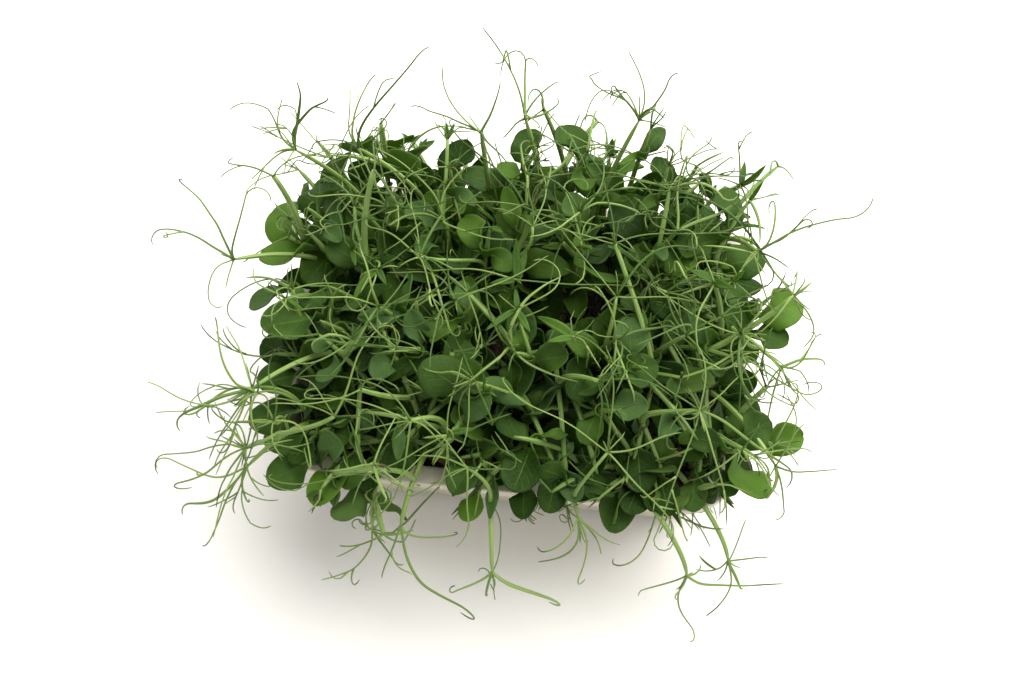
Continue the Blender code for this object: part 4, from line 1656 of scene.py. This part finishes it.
def finish_shoot(plant, draws, pair_places):
    stem = plant["stem"]
    outward = Vector((stem[0].x, stem[0].y * 1.4, 0.0))
    facing = level_way(draws.uniform(0, 360))
    if outward.length > FACES_OUT_FROM:
        facing = outward.normalized()
    for point, size, most in pair_places:
        grow_pair(plant, point, facing, size, draws, most)
        facing = turned(-facing, UP, draws.uniform(-40, 40))
    stalk_chance, hub_counts, brush_chance = SPARSE if stem[-1].y < SPARSE_BEFORE else DENSE
    for pair in plant["pairs"]:
        if pair["node"].z > STALKS_FROM and draws.random() < stalk_chance:
            grow_stalk(plant, pair["node"], pair["axis"], pair["front"], draws)
    forward = end_heading(stem)
    grow_hub(plant, stem[-1], forward, draws.choice(hub_counts), draws, (12, 34))
    if draws.random() < LEAFLET_CHANCE:
        grow_leaflets(plant, stem[-1], forward, draws.choice((1, 2, 3)), draws, 0.8)
    if draws.random() < brush_chance:
        grow_brush(plant, stem[-1], forward, draws)


def grow_filler(number, base):
    """One of the remaining shoots: it stays under the blades that show."""
    draws = random.Random(FILLER_SEED * 1000 + number)
    tip = filler_tip(base, draws)
    plant = empty_plant("filler", stem_route(base, tip))
    crowd.take(filled_in(plant["stem"]))
    lower, middle = draws.choice((8, 10)), draws.choice((14, 16))
    finish_shoot(plant, draws, ((21, 0.85, 0.42), (middle, 1.0, 0.3), (lower, 1.0, 0.3)))
    return plant


# %% Growing them all
plants = [grow_planned(shoot, number) for number, shoot in enumerate(shoots, start=1)]
for number, plant in enumerate(shown):
    draws = random.Random(LOOKS_SEED * 4000 + number)
    finish_shoot(plant, draws, ((13, 1.0, 0.25), (8, 1.0, 0.25)))
fillers = [grow_filler(number, base) for number, base in enumerate(free_bases)]
everything = plants + shown + fillers

# %% [markdown]
# ### The stalks that show
#
# On top of the crowd lie leaf stalks that end in a hub with tendrils, the strongest lines of the whole
# tray. So the largest are laid out one by one: where the hub is, in millimetres, from which side its
# stalk comes, and which way each tendril goes. All ways are in degrees round the tray. A tendril also
# has its length and by how much it has turned when it ends.

# %% Places of the stalks that show
SHOWN_HUBS = (
    # Hub, stalk (way back, length, radius), tendrils (way, length, turn), any leaflets (way, length).
    # The back.
    ((-56, 17), (276, 14, 0.68), ((124, 20, 25), (80, 28, -110))),
    ((-29, 45), (276, 25, 0.77), ((118, 7, 10), (88, 8, 0), (55, 9, -30)), ((100, 7), (70, 6))),
    ((12, 45), (262, 12, 0.59), ((20, 20, -25), (92, 11, 0), (260, 17, -50), (152, 16, 0))),
    ((46, 33), (270, 13, 0.68), ((162, 25, 25), (168, 28, 75), (18, 32, 25), (62, 15, -10))),
    ((46, 33), (262, 12, 0.59), ((125, 40, 65), (28, 19, -70), (348, 42, -35))),
    # The middle.
    ((-32, 0), (9, 19, 0.68), ((112, 23, -18), (155, 19, 4), (80, 24, -20), (294, 24, 5), (310, 27, -25))),
    ((-15, -11), (325, 17, 0.94), ((140, 18, 10), (196, 16, -40), (291, 15, 5), (232, 21, -35))),
    ((-15, -11), (300, 9, 0.59), ((6, 16, -70), (42, 10, 10))),
    ((-45, -5), (80, 8, 0.51),
     ((150, 15, -25), (358, 9, 60), (268, 13, -8), (236, 10, 10)), ((240, 14), (300, 9))),
    ((0, -5), (50, 9, 0.59), ((182, 27, 0), (2, 38, 8)), ((102, 13), (78, 12), (200, 9))),
    ((1, -15), (290, 9, 0.68), ((8, 18, 75), (225, 12, 10)), ((96, 8), (226, 13), (262, 9), (300, 12))),
    ((20, -22), (140, 8, 0.68), ((60, 9, -60), (350, 9, -70)), ((150, 15), (200, 9))),
    ((30, 11), (298, 42, 0.98), ((104, 24, 0), (186, 26, -35), (28, 40, -18), (322, 23, -15))),
    ((3, 14), (279, 14, 0.68), ((97, 19, 5), (72, 24, 40), (60, 14, -50), (142, 13, 20)), ((120, 7),)),
    ((19, 11), (282, 10, 0.59), ((115, 21, -8), (76, 11, -15), (40, 19, -10), (15, 11, 20))),
    ((32, -7), (268, 15, 0.77), ((138, 40, -22), (354, 28, 15), (65, 34, -65))),
    ((48, -3), (150, 12, 0.68), ((292, 30, 45), (55, 20, -160), (330, 10, 20))),
    ((29, -35), (152, 13, 0.94), ((8, 24, -32), (296, 24, -22), (281, 20, -15), (60, 8, 20))),
    ((-9, -39), (2, 15, 0.59), ((122, 12, -5), (164, 12, 0), (150, 9, -12), (224, 15, 75), (302, 10, 5))),
    ((-35, -31), (8, 9, 0.77), ((180, 16, -4), (140, 26, -12), (272, 14, -60), (196, 20, -30))),
    # The sides.
    ((-80, -45), (30, 14, 0.6),
     ((123, 28, -4), (241, 26, 12), (262, 18, -30), (190, 20, 25), (300, 14, -60))),
    ((-79, -64), (40, 14, 0.7),
     ((182, 27, 8), (215, 24, -12), (250, 27, 10), (200, 14, -60), (100, 12, 60))),
    ((-79, -64), (60, 8, 0.5), ((20, 18, -30), (275, 16, 50), (150, 16, -40), (232, 19, 25))),
    ((-71, -56), (70, 9, 0.5), ((10, 14, -70), (60, 12, 80), (120, 14, 60), (200, 16, -50), (260, 12, 70))),
    ((-78, -47), (50, 9, 0.5), ((160, 18, 30), (210, 17, -35), (250, 14, 60), (330, 12, -60), (80, 11, 70))),
    ((73, -19), (200, 9, 0.6), ((80, 15, 60), (20, 17, -40), (300, 15, 50), (250, 14, -70), (340, 24, 20))),
    ((-74, -15), (38, 12, 0.85),
     ((200, 14, 130), (262, 14, 160), (172, 18, -70), (300, 12, -150)), ((330, 8),)),
    ((75, 17), (38, 13, 0.68), ((186, 17, -10), (240, 20, 12), (292, 20, 14), (102, 18, 40))),
    ((73, -12), (300, 9, 0.68), ((98, 14, 0), (182, 34, -50), (38, 14, 60), (330, 32, -15))),
    ((73, -12), (310, 9, 0.59), ((250, 20, 60), (264, 22, 30), (282, 24, -20), (226, 15, 80))),
    # The front.
    ((61, -40), (176, 20, 0.94), ((147, 28, 4), (262, 37, -16), (303, 33, -25), (348, 32, -12))),
    ((61, -40), (190, 10, 0.59), ((44, 17, 8), (200, 13, 50), (212, 10, -50), (230, 9, 60))),
    ((34, -55), (232, 20, 0.68), ((168, 36, -25), (88, 27, 18), (12, 24, 15), (325, 27, -4))),
    ((-28, -52), (36, 15, 0.98),
     ((136, 42, 60), (172, 32, 10), (200, 17, -15), (272, 30, -45), (336, 14, 0))),
    ((-16, -55), (60, 8, 0.59), ((94, 22, -20), (10, 21, 18), (268, 15, -10), (212, 28, -6)), ((20, 9),)),
    ((-40, -67), (36, 10, 0.94), ((192, 23, -6), (248, 11, 0), (312, 9, 40), (130, 17, -50))),
    ((-9, -63), (342, 14, 0.68), ((173, 17, 6), (205, 19, 0), (6, 14, 4), (150, 21, -12), (276, 13, 5))),
    ((-52, -53), (212, 13, 0.85), ((68, 30, 4), (168, 14, -10), (8, 15, -30), (124, 16, 40))),
)

# %% Growing the stalks that show
ABOVE_CROWD = 9 * MM
HOLDS_FROM = 10
STALK_SLOPE = 0.45
SHOWN_HOOK_CHANCE = 0.55
SHOWN_FORK_CHANCE = 0.25


def lay_thread(start, degrees, length, turn, draws):
    """A thread along the top of the crowd: it sets off this way, and has turned by turn when it ends."""
    steps = max(5, round(length * MM / STRIDE))
    starts_at = start.z - crowd_height(start.x, start.y)
    ends_at = draws.uniform(4, 13) * MM
    swing, phase = draws.uniform(3, 12), draws.uniform(0, 6.3)
    route = [start]
    for step in range(1, steps + 1):
        share = step / steps
        way = level_way(degrees + turn * share**1.3 + swing * math.sin(phase + 6 * share))
        place = route[-1] + way * STRIDE
        above = starts_at + (ends_at - starts_at) * share + 2 * MM * math.sin(math.pi * share)
        place.z = crowd_height(place.x, place.y) + above
        route.append(place)
    if draws.random() < SHOWN_HOOK_CHANCE:
        hooked(route, draws, draws.randint(3, 8), (15, 38))
    return route


def nearest_hold(place):
    """The plant, and the point of its stem, that a stalk to this place most likely grows from."""
    holds = [(plant, point) for plant in everything for point in plant["stem"][HOLDS_FROM:-3]]
    return min(holds, key=lambda hold: (hold[1] - place).length)


def grow_shown_hub(number, place, stalk, tendrils, leaflets=()):
    draws = random.Random(LOOKS_SEED * 5000 + number)
    x, y = (value * MM for value in place)
    hub = Vector((x, y, crowd_height(x, y) + ABOVE_CROWD))
    back, length, radius = stalk
    arriving = level_way(back) - UP * STALK_SLOPE
    plant, hold = nearest_hold(hub + arriving * length * MM - UP * 8 * MM)
    reach = (hub - hold).length
    route = interpolate_bezier(hold, hold + UP * reach * 0.3, hub + arriving * length * MM * 0.7, hub, 14)
    plant["stalks"].append((route, radius * MM))
    for degrees, span, turn in tendrils:
        thread = lay_thread(hub, degrees, span, turn, draws)
        plant["threads"].append(thread_record(thread, draws))
        if draws.random() < SHOWN_FORK_CHANCE:
            plant["threads"] += fork(plant["threads"][-1], draws)
    for degrees, span in leaflets:
        heading = (level_way(degrees) + UP * draws.uniform(0.0, 0.35)).normalized()
        facing = square_to(heading, UP + any_direction(draws) * 0.4)
        width = span * MM * draws.uniform(0.18, 0.28)
        plant["leaflets"].append((hub, heading, facing, span * MM, width, draws.uniform(0.4, 0.8)))
    for _ in range(draws.choice((1, 2, 3))):
        heading = (any_direction(draws) + UP * 0.6 - arriving * 0.4).normalized()
        plant["threads"].append(prong(hub, heading, 7, draws, 0.85, 0.2))


for number, shown_hub in enumerate(SHOWN_HUBS):
    grow_shown_hub(number, *shown_hub)
print("stalks that show:", len(SHOWN_HUBS))

# %% [markdown]
# ### Pieces
#
# Each planned shoot is a pair of pieces of its own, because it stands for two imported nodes. The
# shoots in between go together in bands across the tray.

# %% Bands
FILLER_BANDS = 7


def band_of(plant):
    """Which of the bands across the tray a shoot stands in, from the front."""
    share = plant["stem"][0].y / FILLER_WIDTH + 0.5
    return max(0, min(FILLER_BANDS - 1, int(share * FILLER_BANDS)))


bands = [[plant for plant in shown + fillers if band_of(plant) == band] for band in range(FILLER_BANDS)]
for part in ("pairs", "stalks", "threads", "leaflets"):
    print(part, sum(len(plant[part]) for plant in everything))

# %% [markdown]
# ## Building the blades
#
# The planned sections give a blade its place. For the look it needs a rounder outline, a shallow
# fold along the midrib, edges that wave, and a tip that may curl. Sections are closer together near
# the tip, where the outline turns fastest, and the outermost rows lie close to the edge.

# %% Fine sections
BLADE_STEPS = 11
COLLAR_STEPS = 5
COLLAR_YOUTH = 0.4
COLLAR_WAX = 0.2
ACROSS = (-1.0, -0.95, -0.72, -0.42, -0.12, 0.12, 0.42, 0.72, 0.95, 1.0)


def fine_half_width(along, roundness, point):
    """Broad soon after the clasping base; point is 0 for a round tip and 1 for one that runs to a point."""
    across = abs(2 * (along + 0.07) / 1.07 - 1)
    rounded = 0.5 * (1 - min(across, 1.0) ** roundness) ** 0.5
    return rounded * (1 - point * 0.5 * max(0.0, along - 0.2) / 0.8)


# The youth, with painted light and shade in it, and the wax of a blade of each tone, and the width
# and the pointedness of each shape.
TONES = {
    # The tone with a youth past one is painted light: the bright green of a blade that glows, lit through
    # from behind.
    "plain": (0.12, 0.25), "bright": (0.75, 0.1), "glowing": (1.15, 0.0), "deep": (-0.15, 0.05),
    "waxy": (0.1, 1.0),
}
BLADE_SHAPES = {"narrow": (0.45, 0.7), "oval": (0.7, 0.3), "folded": (0.8, 0.4)}


def blade_habit(draws, words, height):
    """How one blade differs from the next: its outline, fold, cup, curl and waves, its youth with painted
    light and shade, and its wax.
    """
    shape = next((word for word in words if word in BLADE_SHAPES), None)
    if not words:
        shape = draws.choice((None, None, None, "oval", "oval", "narrow", "folded"))
    width, point = BLADE_SHAPES.get(shape, (1.0, 0.0))
    # Painted shade: a blade lower in the crowd is given a darker green for the shade it stands in, on top of
    # a random spread.
    youth = max(0.0, min(1.0, (height - 66 * MM) / (60 * MM) + draws.uniform(-0.45, 0.5)))
    wax = draws.choice((0.0, 0.1, 0.4, 1.0))
    if words:
        youth, wax = TONES[words[0]]
    return dict(
        width=width * draws.uniform(0.88, 1.04),
        roundness=draws.uniform(1.75, 2.25),
        point=point + draws.uniform(0.0, 0.3),
        fold=draws.uniform(0.5, 0.9) if shape == "folded" else draws.uniform(-0.05, 0.22),
        cup=draws.uniform(-0.28, 0.3),
        curl=draws.uniform(-0.3, 0.12) * (0.5 if words else 1.0),
        wave=draws.uniform(0.1, 0.8) * MM, phase=draws.uniform(0, 6.3),
        youth=youth, wax=wax,
    )


def fine_pair_sections(pair, draws):
    """Sections of a pair from tip to tip.

    Each is (centre, width direction, half-width, cup, fold, wave, along, youth with painted light and shade,
    wax).
    """

    def blade(side):
        is_shown = pair.get("shown_side") == side
        habit = blade_habit(draws, pair.get("habit", []) if is_shown else [], pair["node"].z)
        scale = pair["size"] * (1.0 if is_shown else pair.get("partner", 1.0))
        droop = pair["droop"] + (0.0 if is_shown or "partner" not in pair else 0.25)
        root, along, upright, level = blade_frame(pair, side)
        length = BLADE_LENGTH * scale
        for step in range(1, BLADE_STEPS + 1):
            share = math.sin(math.pi / 2 * step / BLADE_STEPS)
            width_way = width_way_at(share, pair["twist"], upright, level)
            outline_width = fine_half_width(share, habit["roundness"], habit["point"])
            half = BLADE_WIDTH * scale * habit["width"] * outline_width
            half = max(half, COLLAR_HALF_HEIGHT * (1 - share), 0.15 * MM)
            face = along.cross(width_way)
            place = root + along * length * share - UP * length * droop * share**2
            place += face * length * habit["curl"] * share**3 * side
            ripple = habit["wave"] * math.sin(habit["phase"] + 9 * share)
            marks = share, habit["youth"], habit["wax"]
            yield place, width_way, half, habit["cup"], habit["fold"], ripple, *marks

    flat = 0.0, 0.0, 0.0, 0.0
    collar = [
        (place, pair["axis"], COLLAR_HALF_HEIGHT, *flat, COLLAR_YOUTH, COLLAR_WAX)
        for place in collar_places(pair, COLLAR_STEPS)
    ]
    return list(blade(-1.0))[::-1] + collar + list(blade(1.0))


def fine_sheet(sections):
    """Points across each section, cupped, folded and waved."""
    sheet = []
    for i, (centre, width_way, half, cup, fold, ripple, *_) in enumerate(sections):
        face_way = width_way.cross(along_at(sections, i)).normalized()
        row = []
        for s in ACROSS:
            rise = (cup * s * s + fold * abs(s)) * half + ripple * s * abs(s)
            row.append(centre + width_way * s * half + face_way * rise)
        sheet.append(row)
    return sheet


# %% Build a pair and a leaflet
EDGE_TO_EDGE = [(s + 1) / 2 for s in ACROSS]
LEAFLET_THICKNESS = 0.4 * MM


def on_both_skins(values):
    """One number a section, repeated for each point of the upper skin and then of the lower one."""
    above = [value for value in values for _ in ACROSS]
    return above + [value for value in values[1:-1] for _ in ACROSS[1:-1]]


def add_pair(surfaces, pair, draws):
    sections = fine_pair_sections(pair, draws)
    alongs, youths_and_painted_light, waxes = zip(*(section[-3:] for section in sections))
    marks = {"youth": on_both_skins(youths_and_painted_light), "wax": on_both_skins(waxes)}
    add_thin_solid(surfaces, fine_sheet(sections), alongs, EDGE_TO_EDGE, **marks)


def add_leaflet(surfaces, root, heading, facing, length, width, fold, draws):
    """A narrow blade, pointed at its end and folded along its middle."""
    flank = heading.cross(facing)
    bend = draws.uniform(-0.3, 0.3)
    sheet, alongs = [], []
    for step in range(9):
        share = step / 8
        half = width / 2 * max(math.sin(math.pi * (0.08 + 0.92 * share**0.8)) ** 0.8, 0.04)
        centre = root + (heading * share + facing * bend * share**2) * length
        rises = [fold * abs(s) * half for s in ACROSS[1::2] + (1.0,)]
        row = [centre + flank * s * half + facing * rise for s, rise in zip((-1, -0.55, 0, 0.55, 1), rises)]
        sheet.append(row)
        alongs.append(share)
    marks = {"youth": draws.uniform(0.2, 0.75), "wax": draws.uniform(0.0, 0.6)}
    add_thin_solid(surfaces, sheet, alongs, (0, 0.2, 0.5, 0.8, 1), LEAFLET_THICKNESS, **marks)


# %% [markdown]
# ## Building stems and threads
#
# A stem swells a little at each node, and thins towards its tip more than the imported one does. Its
# ribs are shape as well as finish: every second corner of its ring is set in a touch. The stems that
# sprawl past the rim are painted with half of the threads' paler green, as painted light for the light
# they stand in.

# %% Stems, stalks and threads of one plant
STEM_SIDES = 12
STALK_SIDES = 8
THREAD_SIDES = 5
NODE_SWELLING = 0.3
STALK_FOOT = 1.15
STALK_TIP = 0.8
SLIM_FOOT = 0.88
SLIM_TIP = 0.76


def add_stem(surfaces, plant):
    stem = plant["stem"]
    radii = tapered(STEM_RADIUS * SLIM_FOOT, STEM_TIP_RADIUS * SLIM_TIP, len(stem))
    for pair in plant["pairs"]:
        for i, point in enumerate(stem):
            near = math.exp(-(((point - pair["node"]).length / (1.6 * MM)) ** 2))
            radii[i] *= 1 + NODE_SWELLING * near
    radii[-2] *= 0.8
    radii[-1] *= 0.45
    # Painted light: the lit share of a sprawling stem goes into the slender mark, which pales its green.
    add_tube(surfaces, stem, radii, STEM_SIDES, 0.10, slender=plant["lit"], youth=1.0)


def add_threads(surfaces, plant):
    for stalk, radius in plant["stalks"]:
        radii = tapered(radius * STALK_FOOT, radius * STALK_TIP, len(stalk))
        add_tube(surfaces, stalk, radii, STALK_SIDES, 0.08, slender=0.3, youth=0.8)
    for thread in plant["threads"]:
        route = thread["route"]
        radii = tapered(thread["radius"], THREAD_TIP_RADIUS, len(route))
        for i in range(len(radii)):
            radii[i] *= 1 + thread["swelling"] * math.sin(math.pi * i / (len(radii) - 1))
        radii[0] *= 1.35
        radii[-1] *= 0.5
        marks = {"youth": thread["paleness"], "dryness": thread["dryness"], "slender": 1.0}
        add_tube(surfaces, route, radii, THREAD_SIDES, **marks)


def show(piece, slot, *nodes):
    """Puts a finished piece on the body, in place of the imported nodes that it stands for."""
    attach(piece, "root")
    if nodes:
        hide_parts(*nodes)
    return piece


# %% The planned shoots
def build_plants(group, name, draws, stem_nodes=(), leaf_nodes=()):
    green, blades = Surfaces(), Surfaces()
    for plant in group:
        add_stem(green, plant)
        add_threads(green, plant)
        for pair in plant["pairs"]:
            add_pair(blades, pair, draws)
        for leaflet in plant["leaflets"]:
            add_leaflet(blades, *leaflet, draws)
    stems = green.make(name + "_stem", stem_finish)
    leaves = blades.make(name + "_leaves", leaf_finish)
    show(stems, "stem_green", *stem_nodes)
    show(leaves, "leaf_green", *leaf_nodes)
    return len(stems.data.polygons) + len(leaves.data.polygons)


faces = 0
for number, (shoot, plant) in enumerate(zip(shoots, plants), start=1):
    draws = random.Random(LOOKS_SEED * 2000 + number)
    nodes = [shoot["name"] + "_stem"], [shoot["name"] + "_leaves"]
    faces += build_plants([plant], plant["name"], draws, *nodes)
print("planned shoots built:", len(plants), "with", faces, "faces")

# %% The shoots in between, band by band
faces = 0
for number, group in enumerate(bands, start=1):
    draws = random.Random(FILLER_SEED * 2000 + number)
    faces += build_plants(group, f"between_{number}", draws)
print("bands in between built:", len(bands), "with", faces, "faces")

# %% [markdown]
# ## The punnet
#
# The tray is one thin wall: up its outer side, round the rolled rim, down its inner side. The packed
# model has the same section with plain edges. Here the rim and its skirt are rounded, and the
# corners are finer.

# %% Outline and section
CORNER_STEPS = 20
FILLET_STEPS = 8
RIM_ROUND = 0.9 * MM


def outline(inset, height):
    """The tray's outline, moved in from the rim's edge, with points along its straight sides too."""
    half_length = TRAY_LENGTH / 2 - inset
    half_width = TRAY_WIDTH / 2 - inset
    radius = max(RIM_CORNER_RADIUS - inset, RIM_CORNER_RADIUS / 3)
    corners = []
    for corner, (side_x, side_y) in enumerate(((1, 1), (-1, 1), (-1, -1), (1, -1))):
        centre = Vector((side_x * (half_length - radius), side_y * (half_width - radius), height))
        for step in range(CORNER_STEPS + 1):
            angle = math.radians(90) * (corner + step / CORNER_STEPS)
            corners.append(centre + Vector((math.cos(angle), math.sin(angle), 0.0)) * radius)
    points = []
    for near, far in zip(corners, corners[1:] + corners[:1]):
        pieces = 12 if (far - near).length > 20 * MM else 1
        points += [near.lerp(far, i / pieces) for i in range(pieces)]
    return points


def round_corner(before, corner, after, radius, steps=4):
    """Points of a rounded corner in a section, instead of the sharp one."""
    first = corner + (before - corner).normalized() * radius
    last = corner + (after - corner).normalized() * radius
    shares = [step / steps for step in range(steps + 1)]
    return [first.lerp(corner, t).lerp(corner.lerp(last, t), t) for t in shares]


def foot(inset, height):
    """The fillet round the lower edge of a wall, from its floor up."""
    turns = [math.radians(90) * step / FILLET_STEPS for step in range(FILLET_STEPS + 1)]
    reach = BASE_FILLET
    return [Vector((inset + reach * (1 - math.sin(t)), height + reach * (1 - math.cos(t)))) for t in turns]


def punnet_section():
    outer_foot = foot(RIM_WIDTH + WALL_DRAFT, 0.0)
    inner_foot = foot(RIM_WIDTH + WALL_DRAFT + WALL, WALL)
    under, skirt, top = TRAY_HEIGHT - WALL, TRAY_HEIGHT - SKIRT_DROP, TRAY_HEIGHT
    # How far in from the rim's edge each corner is, how high, and its radius.
    sharp = (
        (RIM_WIDTH, under, 0.8 * MM),
        (WALL, under, 0.4 * MM),
        (WALL, skirt, 0.3 * MM),
        (0.0, skirt, 0.3 * MM),
        (0.0, top, RIM_ROUND),
        (RIM_WIDTH + WALL, top, RIM_ROUND),
    )
    places = [outer_foot[-1]] + [Vector((inset, height)) for inset, height, _ in sharp] + [inner_foot[-1]]
    rim = []
    for i, (_, _, radius) in enumerate(sharp, start=1):
        rim += round_corner(places[i - 1], places[i], places[i + 1], radius)
    return outer_foot + rim + inner_foot[::-1]


# %% Punnet
punnet_surfaces = Surfaces()
loft(punnet_surfaces, [outline(inset, height) for inset, height in punnet_section()])
punnet = punnet_surfaces.make("punnet", plastic_finish)
punnet.data.set_sharp_from_angle(angle=math.radians(50))
show(punnet, "white_plastic", "tray")
print("punnet:", len(punnet.data.polygons), "faces")

# %% [markdown]
# ## Peat, crumbs and seeds
#
# The block of peat fills the punnet to below its rim. Its top is broken up by three scales of noise,
# with loose crumbs on it and the spent seeds that the shoots grew from.

# %% Peat block
PEAT_RINGS = 34
PEAT_ROUGH = 1.1 * MM


def peat_height(x, y):
    place = Vector((x, y, 0.0))
    rough = noise.noise(place * 160) + 0.45 * noise.noise(place * 420)
    return medium_height(x, y) - 0.3 * MM + PEAT_ROUGH * rough * 0.8


def on_peat(x, y, above=0.0):
    return Vector((x, y, peat_height(x, y) + above))


def build_peat():
    surfaces = Surfaces()
    lowest = foot(RIM_WIDTH + WALL_DRAFT + WALL + GAP, WALL + GAP)
    rings = [outline(inset, height) for inset, height in lowest]
    edge = outline(wall_inset(MEDIUM_TOP) + GAP + MEDIUM_BUMP, 0.0)
    for ring in range(PEAT_RINGS):
        share = 1 - ring / PEAT_RINGS
        rings.append([on_peat(p.x * share, p.y * share) for p in edge])
    loft(surfaces, rings)
    block = surfaces.make("peat_block", peat_finish)
    return show(block, "peat", "growing_medium")


peat_block = build_peat()

# %% Crumbs and seeds
CRUMBS = 420
CRUMB_SEED = 31
BED_HALF_LENGTH = 68 * MM
BED_HALF_WIDTH = 46 * MM


def add_lump(surfaces, centre, radius, roughness, squash, draws, rings=6, sides=9):
    """A closed lump: a ball whose points are pushed in and out by noise."""
    shift = any_direction(draws) * 50
    ball = []
    for i in range(rings + 1):
        tilt = math.pi * (0.06 + 0.88 * i / rings)
        ring = []
        for j in range(sides):
            turn = 2 * math.pi * j / sides
            way = Vector((math.sin(tilt) * math.cos(turn), math.sin(tilt) * math.sin(turn), -math.cos(tilt)))
            grow = 1 + roughness * noise.noise(way * 1.7 + shift)
            ring.append(centre + Vector((way.x, way.y, way.z * squash)) * radius * grow)
        ball.append(ring)
    loft(surfaces, ball)


def build_crumbs():
    draws = random.Random(CRUMB_SEED)
    surfaces = Surfaces()
    for _ in range(CRUMBS):
        x = draws.uniform(-BED_HALF_LENGTH, BED_HALF_LENGTH)
        y = draws.uniform(-BED_HALF_WIDTH, BED_HALF_WIDTH)
        radius = draws.uniform(0.5, 1.7) * MM
        add_lump(surfaces, on_peat(x, y, radius * 0.2), radius, 0.8, 0.75, draws, 4, 7)
    return show(surfaces.make("peat_crumbs", peat_finish), "peat")


def build_seeds():
    draws = random.Random(CRUMB_SEED + 1)
    surfaces = Surfaces()
    for plant in everything[::2]:
        base = plant["stem"][0]
        place = base + level_way(draws.uniform(0, 360)) * draws.uniform(3.8, 5.2) * MM
        if abs(place.x) < BED_HALF_LENGTH and abs(place.y) < BED_HALF_WIDTH:
            radius = draws.uniform(2.7, 3.5) * MM
            centre = on_peat(place.x, place.y, radius * draws.uniform(-0.3, 0.2))
            add_lump(surfaces, centre, radius, 0.3, 0.85, draws, 12, 16)
    seeds = surfaces.make("pea_seeds", seed_finish)
    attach(seeds, "root")
    return seeds


peat_crumbs = build_crumbs()
pea_seeds = build_seeds()
print("peat, crumbs and seeds:", [len(p.data.polygons) for p in (peat_block, peat_crumbs, pea_seeds)])

# %% [markdown]
# ## The boxes at the end
#
# Both boxes are printed: that of the imported model and that of everything shown. The shown object
# has to stay within the imported model's box.

# %% Sizes of both boxes
shown_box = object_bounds()
for label, low_high in (("packed", cad_box), ("shown", shown_box)):
    print(label, "box, mm:", [[round(value / MM, 1) for value in corner] for corner in low_high])
